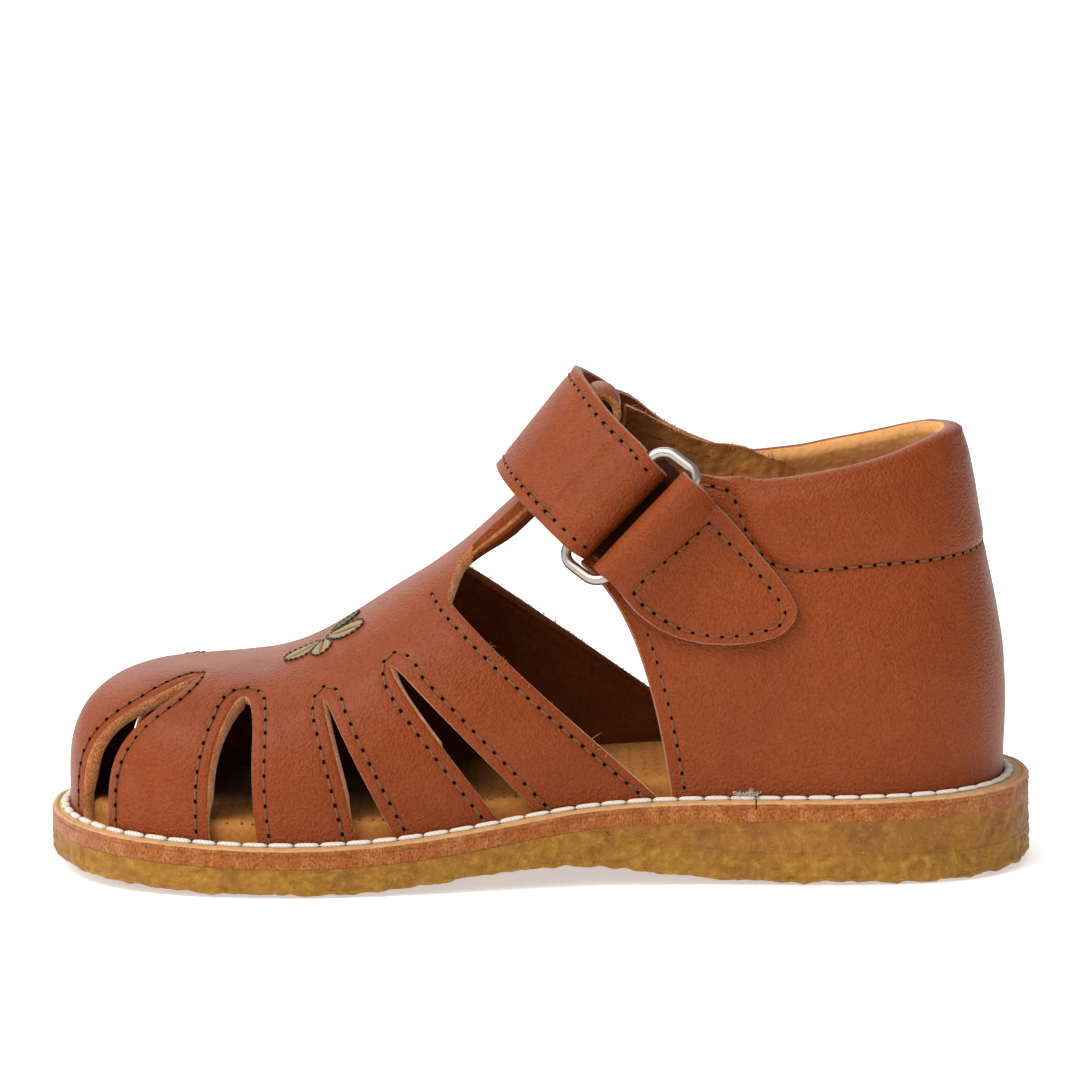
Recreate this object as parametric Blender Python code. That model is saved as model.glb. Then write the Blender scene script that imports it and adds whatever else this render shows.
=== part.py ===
"""Child's closed-toe T-bar sandal for the left foot, in metres, toe towards -X, outer side towards -Y."""

import bmesh
import bpy
import numpy as np

# Driving sizes, in millimetres
MM = 0.001
OUTSOLE_LENGTH = 162.2
TOE_TIP_OFFSET = 4.0
CREPE_DROP = 0.6
GAP = 0.3
WELT_THICKNESS = 1.2
MIDSOLE_THICKNESS = 1.5
CREPE_EDGE_ROUND = 0.6
WEDGE_FRONT = 10.0
JOINT_X = 34.5
WALL = 2.0
COLLAR_WALL = 4.4
LASTING_MARGIN = 6.0
INSOLE_THICKNESS = 2.3
TOE_HUB = -45.0
HEEL_HUB = 40.0
HUB_REACH = 10.0
WALL_BULGE = 1.1
BULGE_HEIGHT = 34.0
BAR_HALF_WIDTH = 6.2
BAR_FLARE = 7.3
BAR_FLARE_LENGTH = 2.4
BAR_END_X = 10.8
FOLD_RADIUS = 1.65
FOLD_RETURN = 4.5
FOLD_WALL = 1.3
STRAP_WIDTH = 18.8
STRAP_FLARE = 5.0
STRAP_SAG = 1.0
STRAP_THICKNESS = 1.8
STRAP_CREST_X = 4.0
STRAP_RING_X = 12.9
PATCH_WIDTH = 13.0
PATCH_THICKNESS = 1.1
WIRE_RADIUS = 1.05
RING_LENGTH = 23.8
RING_WIDTH = 8.4
RING_CORNER = 2.7
RING_LEAN = 1.0
TAB_WIDTH = 19.0
TAB_THICKNESS = 1.6
TAB_RETURN = 0.2
TAB_SETTLE = 0.5
BAR_WALL = 3.8
COLLAR_PAD = 1.0
LATERAL = -1
MEDIAL = 1
COLLAR_FRONT_X = {LATERAL: 34.0, MEDIAL: 38.0}
CENTRE = np.array([0.5, 0.4, CREPE_DROP])

# Sole: x from heel to toe, outer and inner half width, underside, welt top, crepe thickness, welt shelf
SOLE_STATIONS = (
    (80.6, 0.0, 0.0, 0.9, 13.9, 5.0, 5.0),
    (77.6, 13.3, 13.3, 0.5, 13.8, 5.0, 4.7),
    (70.0, 21.4, 20.9, 0.1, 13.6, 5.0, 3.9),
    (57.0, 25.5, 24.8, -0.3, 13.3, 5.0, 3.3),
    (38.0, 25.2, 23.0, 0.0, 13.1, 5.1, 3.2),
    (20.0, 24.4, 20.8, 1.5, 12.9, 5.4, 3.2),
    (5.0, 25.6, 21.6, 3.1, 11.9, 5.8, 3.2),
    (-10.0, 28.4, 24.6, 2.1, 9.7, 4.9, 3.2),
    (-26.0, 31.1, 28.7, 0.5, 7.9, 4.7, 3.2),
    (-41.0, 31.8, 30.8, -0.3, 7.4, 4.7, 3.2),
    (-54.0, 30.0, 30.6, -0.2, 7.7, 4.7, 3.2),
    (-66.0, 25.4, 27.6, 0.2, 8.3, 4.7, 3.4),
    (-76.6, 14.6, 20.8, 0.7, 9.0, 4.8, 3.8),
    (-81.6, 0.0, 0.0, 1.1, 9.4, 4.9, 4.1),
)

# Crown of the last: x, height, sideways shift towards the big toe, fullness of the section
CROWN_STATIONS = (
    (-82.0, 30.6, 4.0, 3.0),
    (-70.0, 32.3, 3.8, 3.0),
    (-62.0, 33.2, 3.5, 2.9),
    (-50.0, 34.5, 3.0, 2.7),
    (-42.0, 35.9, 2.6, 2.6),
    (-36.0, 37.9, 2.2, 2.5),
    (-30.0, 41.3, 1.9, 2.45),
    (-23.0, 45.7, 1.5, 2.4),
    (-16.0, 49.9, 1.2, 2.4),
    (-9.0, 55.4, 1.0, 2.4),
    (-4.0, 60.0, 0.8, 2.4),
    (4.0, 67.0, 0.6, 2.4),
    (12.0, 75.0, 0.4, 2.4),
    (22.0, 87.0, 0.2, 2.3),
    (38.0, 101.0, 0.0, 2.2),
    (55.0, 110.0, 0.0, 1.8),
    (80.0, 112.0, 0.0, 1.7),
)

# Slits of the vamp: foot x, apex x, apex height, crown x above it, width, flare at the foot, bend, bow
OUTER_SLITS = (
    (-72.4, -60.0, 32.4, -50.5, 5.2, 1.8, 2.6, 0.0),
    (-49.6, -48.2, 30.4, -45.0, 6.6, 1.6, 1.0, -1.1),
    (-26.2, -35.2, 30.6, -36.0, 1.4, 5.2, 1.0, 0.0),
    (-2.8, -24.4, 35.6, -27.0, 2.4, 4.0, 1.0, 0.0),
)
INNER_SLITS = (
    (-73.6, -63.0, 32.6, -50.5, 4.4, 0.6, 2.6, 0.0),
    (-44.0, -47.5, 30.6, -45.0, 6.6, 1.6, 1.0, 0.0),
    (-17.0, -34.5, 31.4, -36.0, 1.4, 5.2, 1.0, 0.0),
    (11.0, -24.4, 37.4, -27.0, 2.4, 4.0, 1.0, 0.0),
)
TOE_APEX_HEIGHT = 28.5

# Throat, where the vamp ends: foot x, corner x, corner height, crown x
OUTER_THROAT = (20.2, -15.3, 45.4, -17.5)
INNER_THROAT = (36.0, -14.6, 48.6, -17.5)

# Front edge of each quarter: foot x, top corner x, top corner height, bow towards the heel
OUTER_QUARTER_FRONT = (21.2, 6.6, 51.0, 1.4)
INNER_QUARTER_FRONT = (38.0, 12.0, 50.0, 2.0)

# Top edge behind the corner: x at the feather ray, height of the outer side, height of the inner side
COLLAR_STATIONS = (
    (14.0, 58.6, 58.0),
    (24.0, 65.6, 65.8),
    (29.0, 65.0, 66.0),
    (35.0, 64.2, 65.4),
    (43.0, 65.0, 66.0),
    (54.0, 67.0, 67.9),
    (65.0, 69.4, 69.8),
    (72.0, 70.8, 70.8),
    (77.3, 71.2, 71.2),
)
COLLAR_SEAM_HEIGHT = 51.0

# Tab on the outer quarter, from its fold to its tip: share of the run, lower edge x and z, upper edge x and z
TAB_STATIONS = (
    (0.00, 10.4, 49.8, 25.0, 63.6),
    (0.20, 15.6, 43.2, 28.2, 60.6),
    (0.40, 21.4, 39.8, 31.6, 57.0),
    (0.60, 27.8, 38.5, 35.0, 52.8),
    (0.80, 34.6, 38.8, 38.4, 48.6),
    (0.93, 39.0, 40.2, 40.3, 45.7),
    (1.00, 40.9, 42.4, 41.1, 44.0),
)


def spline(knots, values, at):
    """Cubic through the knots with continuous curvature, straight at both ends."""
    knots = np.asarray(knots, float)
    values = np.asarray(values, float).reshape(len(knots), -1)
    at = np.asarray(at, float)
    step = np.diff(knots)
    matrix = np.eye(len(knots))
    right = np.zeros_like(values)
    for i in range(1, len(knots) - 1):
        matrix[i, i - 1 : i + 2] = step[i - 1], 2 * (step[i - 1] + step[i]), step[i]
        right[i] = 6 * ((values[i + 1] - values[i]) / step[i] - (values[i] - values[i - 1]) / step[i - 1])
    bend = np.linalg.solve(matrix, right)
    i = np.clip(np.searchsorted(knots, at, "right") - 1, 0, len(knots) - 2)
    low = ((knots[i + 1] - at) / step[i])[..., None]
    high = 1.0 - low
    curve = (low**3 - low) * bend[i] + (high**3 - high) * bend[i + 1]
    found = low * values[i] + high * values[i + 1] + curve * (step[i] ** 2)[..., None] / 6
    return found[..., 0] if found.shape[-1] == 1 else found


def column(table, which):
    return np.array([row[which] for row in table])


def by_x(table, which, x):
    return spline(column(table, 0)[::-1], column(table, which)[::-1], x)


def underside(x):
    return np.maximum(by_x(SOLE_STATIONS, 3, x), 0.0) - CREPE_DROP


def welt_top(x):
    return by_x(SOLE_STATIONS, 4, x)


def crepe_top(x):
    return welt_top(x) - WELT_THICKNESS - MIDSOLE_THICKNESS - 2 * GAP


def outsole_top(x):
    blend = np.clip((np.asarray(x) - WEDGE_FRONT + 4.0) / 4.0, 0.0, 1.0)
    thin = np.minimum(underside(x) + by_x(SOLE_STATIONS, 5, x), crepe_top(x))
    return crepe_top(x) * (1.0 - blend) + thin * blend


def outline_loop():
    """Closed run round the sole edge: heel tip, outer side, toe tip, inner side."""
    inner = SOLE_STATIONS[1:-1]
    loop = [(SOLE_STATIONS[0][0], 0.0)]
    loop += [(row[0], -row[1]) for row in inner]
    loop += [(SOLE_STATIONS[-1][0], TOE_TIP_OFFSET)]
    loop += [(row[0], row[2]) for row in inner[::-1]]
    return np.array(loop) * [OUTSOLE_LENGTH / 162.2, 1.0]


def outline(side, share):
    """Point of the sole edge, share 0 at the toe tip and 1 at the heel tip."""
    loop = outline_loop()
    pad = 5
    closed = np.vstack([loop[-pad:], loop, loop[: pad + 1]])
    run = np.concatenate([[0.0], np.cumsum(np.linalg.norm(np.diff(closed, axis=0), axis=1))])
    toe = run[pad + len(SOLE_STATIONS) - 1]
    heel = run[pad] if side == LATERAL else run[pad + len(loop)]
    return spline(run, closed, toe + (heel - toe) * np.asarray(share, float))


def inset(side, share, amount, shelf=0.0):
    """Sole edge moved inwards by the amount, after a share of the welt's shelf."""
    share = np.asarray(share, float)
    amount = amount + shelf * by_x(SOLE_STATIONS, 6, outline(side, share)[..., 0])
    run = outline(side, share + 1e-4) - outline(side, share - 1e-4)
    run /= np.linalg.norm(run, axis=-1, keepdims=True)
    inward = -side * np.stack([-run[..., 1], run[..., 0]], axis=-1)
    return outline(side, share) + inward * np.asarray(amount)[..., None]


def feather(side, share):
    return inset(side, share, 0.0, 1.0)


SHARES = np.linspace(0.0, 1.0, 2001)
FEATHER_X = {side: feather(side, SHARES)[:, 0] for side in (LATERAL, MEDIAL)}


def share_at(side, x):
    return np.interp(x, FEATHER_X[side], SHARES)


def ray_end(x):
    """Crown position that a line of the last runs up to from its foot at x."""
    ahead = np.maximum(TOE_HUB - x, 0.0)
    behind = np.maximum(x - HEEL_HUB, 0.0)
    shift = HUB_REACH * (np.exp(-ahead / HUB_REACH) - np.exp(-behind / HUB_REACH))
    return np.clip(x, TOE_HUB, HEEL_HUB) + shift


RAY_END = {side: ray_end(FEATHER_X[side]) for side in (LATERAL, MEDIAL)}


def share_of_crown(side, x):
    return np.interp(x, RAY_END[side], SHARES)


def base(x):
    return welt_top(x) - WELT_THICKNESS


def last(side, share, climb):
    """Outer face of the upper: climb 0 at the feather line and 1 at the crown."""
    share, climb = np.broadcast_arrays(np.asarray(share, float), np.asarray(climb, float))
    foot = feather(side, share)
    out = foot - inset(side, share, 1.0, 1.0)
    end = ray_end(foot[..., 0])
    full = by_x(CROWN_STATIONS[::-1], 3, foot[..., 0])
    angle = np.clip(climb, 0.0, 1.0) * np.pi / 2
    reach = np.maximum(np.cos(angle), 0.0) ** (2 / full)
    lift = np.sin(angle) ** (2 / full)
    x = end + (foot[..., 0] - end) * reach
    centre = by_x(CROWN_STATIONS[::-1], 2, end)
    y = centre + (foot[..., 1] - centre) * reach
    height = (by_x(CROWN_STATIONS[::-1], 1, x) - base(x)) * lift
    bulge = WALL_BULGE * np.sin(np.pi * np.clip(height / BULGE_HEIGHT, 0.0, 1.0)) ** 2 * reach
    return np.stack([x + out[..., 0] * bulge, y + out[..., 1] * bulge, base(x) + height], axis=-1)


def crown_line(x):
    """Highest line of the last, from toe to instep."""
    return np.stack([x, by_x(CROWN_STATIONS[::-1], 2, x), by_x(CROWN_STATIONS[::-1], 1, x)], axis=-1)


def climb_to(side, share, z):
    """Climb at which a line of the last reaches height z."""
    share, z = np.broadcast_arrays(np.asarray(share, float), np.asarray(z, float))
    foot = feather(side, share)[..., 0]
    full = by_x(CROWN_STATIONS[::-1], 3, foot)
    x = foot
    climb = np.zeros(share.shape)
    for _ in range(8):
        lift = np.clip((z - base(x)) / (by_x(CROWN_STATIONS[::-1], 1, x) - base(x)), 0.0, 1.0)
        climb = np.arcsin(lift ** (full / 2)) * 2 / np.pi
        x = last(side, share, climb)[..., 0]
    return climb


def climb_beside(side, share, distance):
    """Climb at which a line of the last lies this far sideways of the crown."""
    foot = feather(side, share)
    full = by_x(CROWN_STATIONS[::-1], 3, foot[..., 0])
    half = np.abs(foot[..., 1] - by_x(CROWN_STATIONS[::-1], 2, ray_end(foot[..., 0])))
    return np.arccos(np.clip(distance / half, 0.0, 1.0) ** (full / 2)) * 2 / np.pi


def outward(side, share, climb):
    """Unit normal of the last, away from the foot."""
    climb = np.clip(climb, 0.02, 0.985)
    along = last(side, share + 1e-3, climb) - last(side, share - 1e-3, climb)
    up = last(side, share, climb + 0.01) - last(side, share, climb - 0.01)
    normal = np.cross(along, up) * -side
    return normal / np.linalg.norm(normal, axis=-1, keepdims=True)


class Sheet:
    """Quads gathered from grids of points, welded where grids share an edge."""

    def __init__(self):
        self.points = []
        self.faces = []

    def grid(self, points):
        rows, columns = points.shape[:2]
        start = len(self.points)
        self.points += [tuple(p) for p in points.reshape(-1, 3)]
        for r in range(rows - 1):
            for c in range(columns - 1):
                a = start + r * columns + c
                self.faces.append((a, a + 1, a + columns + 1, a + columns))

    def object(self, name, colour, roughness=0.6, metallic=0.0):
        mesh = bpy.data.meshes.new(name)
        work = bmesh.new()
        verts = [work.verts.new((np.array(p) + CENTRE) * MM) for p in self.points]
        for face in self.faces:
            work.faces.new([verts[i] for i in face])
        bmesh.ops.remove_doubles(work, verts=work.verts, dist=2e-6)
        bmesh.ops.dissolve_degenerate(work, edges=work.edges, dist=1e-6)
        bmesh.ops.recalc_face_normals(work, faces=work.faces)
        work.to_mesh(mesh)
        work.free()
        return add_object(name, mesh, colour, roughness, metallic)


def add_object(name, mesh, colour, roughness, metallic):
    material = bpy.data.materials.new(name + "_material")
    material.use_nodes = True
    shader = material.node_tree.nodes["Principled BSDF"]
    shader.inputs["Base Color"].default_value = (*colour, 1.0)
    shader.inputs["Roughness"].default_value = roughness
    shader.inputs["Metallic"].default_value = metallic
    mesh.materials.append(material)
    obj = bpy.data.objects.new(name, mesh)
    bpy.context.scene.collection.objects.link(obj)
    return obj


def slab(name, shares, rows, colour, shelf=0.0):
    """Plate with the sole's plan: each row is an inset and a height read from x."""
    sheet = Sheet()
    rings = []
    for amount, height in rows:
        sides = [inset(side, shares, amount, shelf) for side in (LATERAL, MEDIAL)]
        for plan in sides:
            if shares[0] == 0.0:
                plan[0] = inset(LATERAL, 0.0, amount, shelf)
            if shares[-1] == 1.0:
                plan[-1] = inset(LATERAL, 1.0, amount, shelf)
        ring = [np.column_stack([plan, height(plan[:, 0])]) for plan in sides]
        rings.append(ring)
    for lower, upper in zip(rings[:-1], rings[1:]):
        for side in (0, 1):
            sheet.grid(np.stack([lower[side], upper[side]]))
        for end in (0, -1):
            if shares[end] not in (0.0, 1.0):
                sheet.grid(np.array([[lower[0][end], lower[1][end]], [upper[0][end], upper[1][end]]]))
    for ring in (rings[0], rings[-1]):
        sheet.grid(np.stack(ring))
    return sheet.object(name, colour)


def sole_shares(count, first=0.0):
    """Shares packed more closely towards the toe and heel tips."""
    return first + (1.0 - first) * (0.5 - 0.5 * np.cos(np.linspace(0.0, np.pi, count)))


def build_sole():
    shares = sole_shares(41)
    slab(
        "outsole",
        shares,
        (
            (CREPE_EDGE_ROUND, underside),
            (0.0, lambda x: underside(x) + CREPE_EDGE_ROUND),
            (0.0, outsole_top),
        ),
        (0.37, 0.19, 0.04),
    )
    front = share_at(LATERAL, WEDGE_FRONT + 0.3)
    wedge = np.concatenate([[front], shares[shares > front + 0.01]])
    slab(
        "heel_wedge",
        wedge,
        ((0.0, lambda x: outsole_top(x) + GAP), (0.0, crepe_top)),
        (0.30, 0.11, 0.03),
    )
    slab(
        "midsole",
        shares,
        ((0.0, lambda x: crepe_top(x) + GAP), (0.0, lambda x: welt_top(x) - WELT_THICKNESS - GAP)),
        (0.40, 0.14, 0.04),
    )
    slab(
        "insole",
        shares,
        (
            (WALL + 0.4, lambda x: base(x) + WALL + GAP),
            (WALL + 0.4, lambda x: base(x) + WALL + GAP + INSOLE_THICKNESS),
        ),
        (0.42, 0.18, 0.05),
        1.0,
    )


def build_welt():
    """Strip round the upper, its ends butted on the outer side of the waist."""
    joint = share_at(LATERAL, JOINT_X)
    half_gap = 0.0008
    shares = sole_shares(41)
    ahead = np.concatenate([[joint - half_gap], shares[shares < joint - 0.008][::-1]])
    inner = shares[1:]
    behind = np.concatenate([shares[shares > joint + 0.008][::-1][1:], [joint + half_gap]])
    runs = ((LATERAL, ahead), (MEDIAL, inner), (LATERAL, behind))
    corners = []
    edges = ((0.0, 0.0, WELT_THICKNESS), (0.0, 0.0, 0.0), (-GAP, 1.0, 0.0), (-GAP, 1.0, WELT_THICKNESS))
    for amount, shelf, drop in edges:
        plan = np.vstack([inset(side, run, amount, shelf) for side, run in runs])
        corners.append(np.column_stack([plan, welt_top(plan[:, 0]) - drop]))
    corners.append(corners[0])
    sheet = Sheet()
    sheet.grid(np.stack(corners))
    for end in (0, -1):
        sheet.grid(np.array([[corners[0][end], corners[1][end]], [corners[3][end], corners[2][end]]]))
    sheet.object("welt", (0.55, 0.36, 0.20))


LOW_ROWS = np.linspace(0.0, 1.0, 8)
TOP_ROWS = np.linspace(1.0, 2.0, 5)
STRIP_COLUMNS = (4, 6, 6, 6, 6)


def edge_line(side, foot, apex, apex_z, bend):
    """Share and climb along a line of the vamp from its foot up to its apex."""
    share = foot + (apex - foot) * LOW_ROWS**bend
    foot_z = base(feather(side, share[:1])[:, 0])[0]
    climb = climb_to(side, share, foot_z + (apex_z - foot_z) * LOW_ROWS)
    climb[0] = 0.0
    return share, climb


def strip_edges(side, slits, throat):
    """The two edges of every strip of the vamp, with the crown x above each, from toe to throat."""
    toe = edge_line(side, 0.0, 0.0, TOE_APEX_HEIGHT, 1.0)
    edges = [[(*toe, ray_end(FEATHER_X[side][0]))]]
    length = np.sum(np.linalg.norm(np.diff(feather(side, SHARES), axis=0), axis=1))
    for foot, apex, apex_z, crown, width, flare, bend, bow in slits:
        share, climb = edge_line(side, share_at(side, foot), share_at(side, apex), apex_z, bend)
        share = share + bow / length * np.sin(np.pi * LOW_ROWS)
        spread = (width * (1 - LOW_ROWS**4) + flare * (1 - LOW_ROWS) ** 1.6) / 2 / length
        edges[-1].append((share - spread, climb, crown))
        edges.append([(share + spread, climb, crown)])
    foot, corner, corner_z, crown = throat
    edges[-1].append((*edge_line(side, share_at(side, foot), share_at(side, corner), corner_z, 1.0), crown))
    return edges


def bar_path():
    """Crown line of the T-bar under the strap, then its end folded back over the strap."""
    x = np.array([-13.6, -11.6, -9.0, -5.5, -1.5, 2.5, 6.5, BAR_END_X])
    flat = np.column_stack([x, by_x(CROWN_STATIONS[::-1], 1, x)])
    run = flat[-1] - flat[-2]
    run /= np.linalg.norm(run)
    rise = np.array([-run[1], run[0]])
    turn = np.linspace(0.0, np.pi, 9)[1:]
    centre = flat[-1] + rise * FOLD_RADIUS
    fold = [centre + FOLD_RADIUS * (run * np.sin(t) - rise * np.cos(t)) for t in turn]
    back = [fold[-1] - run * FOLD_RETURN * k for k in (0.33, 0.67, 1.0)]
    return flat, np.array(fold + back), rise


def upper_grids(sheet, side, slits, throat):
    feet = []
    for (left, right), columns in zip(strip_edges(side, slits, throat), STRIP_COLUMNS):
        across = np.linspace(0.0, 1.0, columns)
        share = left[0][:, None] * (1 - across) + right[0][:, None] * across
        climb = left[1][:, None] * (1 - across) + right[1][:, None] * across
        ridge = left[2] + (right[2] - left[2]) * across
        crown = share_of_crown(side, ridge)
        up = (TOP_ROWS[1:] - 1.0)[:, None]
        share = np.vstack([share, share[-1] + (crown - share[-1]) * up])
        climb = np.vstack([climb, climb[-1] + (1.0 - climb[-1]) * up])
        strip = last(side, share, climb)
        strip[-1] = crown_line(ridge)
        if not feet:
            strip[:-1, 0] = last(LATERAL, 0.0, climb[:-1, 0])
        sheet.grid(strip)
        feet.append(share[0])
    throat_line = strip[len(LOW_ROWS) - 1 :, -1]
    flat, fold, rise = bar_path()
    across = 1.0 - np.linspace(0.0, 1.0, len(TOP_ROWS))
    rows = [throat_line]
    for x, z in flat:
        half = BAR_HALF_WIDTH + BAR_FLARE * np.exp(-(x - throat[1]) / BAR_FLARE_LENGTH)
        share = np.full(across.shape, share_at(side, x))
        rows.append(last(side, share, climb_beside(side, share, half * across)))
    drop = rows[-1] - rows[-1][-1]
    drop -= np.outer(drop @ [rise[1], 0.0, -rise[0]], [rise[1], 0.0, -rise[0]])
    for x, z in fold:
        rows.append(np.array([x, rows[-1][-1][1], z]) + drop)
    sheet.grid(np.stack(rows))
    return np.concatenate(feet)


QUARTER_COLUMNS = np.linspace(0.0, 1.0, 25)
QUARTER_ROWS = np.array([0.0, 0.12, 0.26, 0.42, 0.58, 0.70, 0.74, 0.80, 0.87, 0.94, 1.0])
SEAM_ROW = 0.72


def collar_pad(side, points, row):
    """Push of the padded collar, nil at its seam and in front of the collar."""
    ahead = np.clip((points[..., 0] - COLLAR_FRONT_X[side]) / 4.0, 0.0, 1.0)
    above = np.clip((row - SEAM_ROW) / (1.0 - SEAM_ROW), 0.0, 1.0)
    return COLLAR_PAD * np.sin(np.pi * np.clip(above * 0.94 + 0.06, 0.0, 1.0)) ** 0.6 * ahead * (row > SEAM_ROW)


def quarter_grid(sheet, side, front):
    foot, corner, corner_z, bow = front
    heights = 1 if side == LATERAL else 2
    feet = share_at(side, foot) + (1.0 - share_at(side, foot)) * QUARTER_COLUMNS
    top_x = np.concatenate([[corner], column(COLLAR_STATIONS, 0)])
    top_z = np.concatenate([[corner_z], column(COLLAR_STATIONS, heights)])
    stations = share_at(side, top_x)
    stations[-1] = 1.0
    tops = stations[0] + (1.0 - stations[0]) * QUARTER_COLUMNS**1.1
    tops[1:4] = stations[1:4]
    tops[4:] = stations[3] + (1.0 - stations[3]) * np.linspace(0.0, 1.0, len(tops) - 3)[1:]
    top_height = np.interp(tops, stations, top_z)
    top_climb = climb_to(side, tops, top_height)
    seam_climb = climb_to(side, feet + (tops - feet) * SEAM_ROW, np.full(len(feet), COLLAR_SEAM_HEIGHT))
    ahead = np.clip((np.interp(tops, SHARES, FEATHER_X[side]) - 28.0) / 6.0, 0.0, 1.0)
    seam_climb = seam_climb * ahead + top_climb * SEAM_ROW * (1.0 - ahead)
    row = QUARTER_ROWS[:, None]
    share = feet + (tops - feet) * row
    lean = (share_at(side, foot) - share_at(side, foot - bow)) * np.sin(np.pi * np.minimum(row, 1.0))
    share = share + lean * (1 - QUARTER_COLUMNS) ** 3
    climb = np.where(
        row <= SEAM_ROW,
        seam_climb * row / SEAM_ROW,
        seam_climb + (top_climb - seam_climb) * (row - SEAM_ROW) / (1.0 - SEAM_ROW),
    )
    share = np.clip(share, 0.0, 1.0)
    points = last(side, share, climb)
    points[:, -1] = last(LATERAL, share[:, -1], climb[:, -1])
    normal = outward(side, np.clip(share, 0.001, 0.999), climb)
    normal[:, -1] = [1.0, 0.0, 0.0]
    pad = collar_pad(side, points, np.broadcast_to(row, share.shape))
    sheet.grid(points + normal * pad[..., None])
    return feet


def wall_at(x, y, z):
    """Leather thickness: single on the vamp, doubled along the T-bar, padded at the collar."""
    front = COLLAR_FRONT_X[LATERAL if y < 0 else MEDIAL]
    padded = np.clip((x - front) / 4.0, 0.0, 1.0) * np.clip((z - COLLAR_SEAM_HEIGHT) / 4.0, 0.0, 1.0)
    barred = np.clip((x + 14.0) / 8.0, 0.0, 1.0) * np.clip((BAR_END_X - 2.0 - x) / 4.0, 0.0, 1.0)
    barred *= float(abs(y) < 9.0 and abs(z - by_x(CROWN_STATIONS[::-1], 1, np.array([x]))[0]) < 3.0)
    folded = np.clip((z - by_x(CROWN_STATIONS[::-1], 1, np.array([x]))[0] - 0.8) / 1.0, 0.0, 1.0)
    folded *= float(abs(y) < 9.0 and x < BAR_END_X + 4.0)
    return WALL + (COLLAR_WALL - WALL) * padded + (BAR_WALL - WALL) * barred + (FOLD_WALL - WALL) * folded


def build_upper():
    sheet = Sheet()
    for side, slits, throat, front in (
        (LATERAL, OUTER_SLITS, OUTER_THROAT, OUTER_QUARTER_FRONT),
        (MEDIAL, INNER_SLITS, INNER_THROAT, INNER_QUARTER_FRONT),
    ):
        feet = upper_grids(sheet, side, slits, throat)
        feet = np.concatenate([feet, quarter_grid(sheet, side, front)])
        outer = last(side, feet, np.zeros(len(feet)))
        inner = inset(side, feet, LASTING_MARGIN, 1.0)
        inner[0] = inset(LATERAL, 0.0, LASTING_MARGIN, 1.0)
        inner[-1] = inset(LATERAL, 1.0, LASTING_MARGIN, 1.0)
        outer[0] = last(LATERAL, 0.0, 0.0)
        outer[-1] = last(LATERAL, 1.0, 0.0)
        sheet.grid(np.stack([outer, np.column_stack([inner, base(inner[:, 0])])]))
    upper = sheet.object("upper", (0.30, 0.075, 0.030))
    work = bmesh.new()
    work.from_mesh(upper.data)
    toe = min(work.faces, key=lambda face: face.calc_center_median().x)
    if toe.normal.x > 0:
        bmesh.ops.reverse_faces(work, faces=work.faces)
    work.to_mesh(upper.data)
    work.free()
    group = upper.vertex_groups.new(name="wall")
    for vertex in upper.data.vertices:
        group.add([vertex.index], float(wall_at(*(np.array(vertex.co) / MM - CENTRE))) / COLLAR_WALL, "REPLACE")
    solidify = upper.modifiers.new("leather", "SOLIDIFY")
    solidify.thickness = COLLAR_WALL * MM
    solidify.offset = -1.0
    solidify.vertex_group = "wall"


def strap_trace(side, slope, reach, count):
    """Line on the last that the strap follows down from the crest."""
    x = STRAP_CREST_X + reach * np.linspace(0.0, 1.0, count) ** 2
    z = by_x(CROWN_STATIONS[::-1], 1, STRAP_CREST_X) - (x - STRAP_CREST_X) * np.tan(np.radians(slope))
    share = share_at(side, x)
    return last(side, share, climb_to(side, share, z))


def band(name, centres, across, thickness, half_width, colour, flare=0.0):
    """Strip swept along its centre line, with the width direction given at every point."""
    run = np.gradient(centres, axis=0)
    run /= np.linalg.norm(run, axis=1, keepdims=True)
    across = across - run * np.sum(across * run, axis=1, keepdims=True)
    across /= np.linalg.norm(across, axis=1, keepdims=True)
    rise = np.cross(across, run)
    half = thickness / 2
    corners = [
        centres + across * np.reshape(half_width * a + flare * (a > 0), (-1, 1)) + rise * half * r
        for a, r in ((-1, -1), (1, -1), (1, 1), (-1, 1), (-1, -1))
    ]
    sheet = Sheet()
    sheet.grid(np.stack(corners))
    for end in (0, -1):
        sheet.grid(np.array([[corners[0][end], corners[1][end]], [corners[3][end], corners[2][end]]]))
    return sheet.object(name, colour)


def tilt(degrees):
    angle = np.radians(np.asarray(degrees, float))
    return np.stack([np.cos(angle), np.zeros_like(angle), np.sin(angle)], axis=-1)


def strap_frame():
    """Centre line on the last, width directions and outward normals over the arch."""
    near = strap_trace(LATERAL, 36.0, STRAP_RING_X - STRAP_CREST_X, 15)
    far = strap_trace(MEDIAL, 30.0, 24.0, 19)
    points = np.vstack([far[:0:-1], near])
    slope = np.concatenate([np.linspace(52.0, 43.0, len(far) - 1), np.linspace(43.0, 45.0, len(near))])
    run = np.gradient(points, axis=0)
    run /= np.linalg.norm(run, axis=1, keepdims=True)
    across = tilt(slope)
    rise = np.cross(across, run)
    rise /= np.linalg.norm(rise, axis=1, keepdims=True)
    return points, across, rise * np.sign(rise[len(far) - 1, 2]), run


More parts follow.
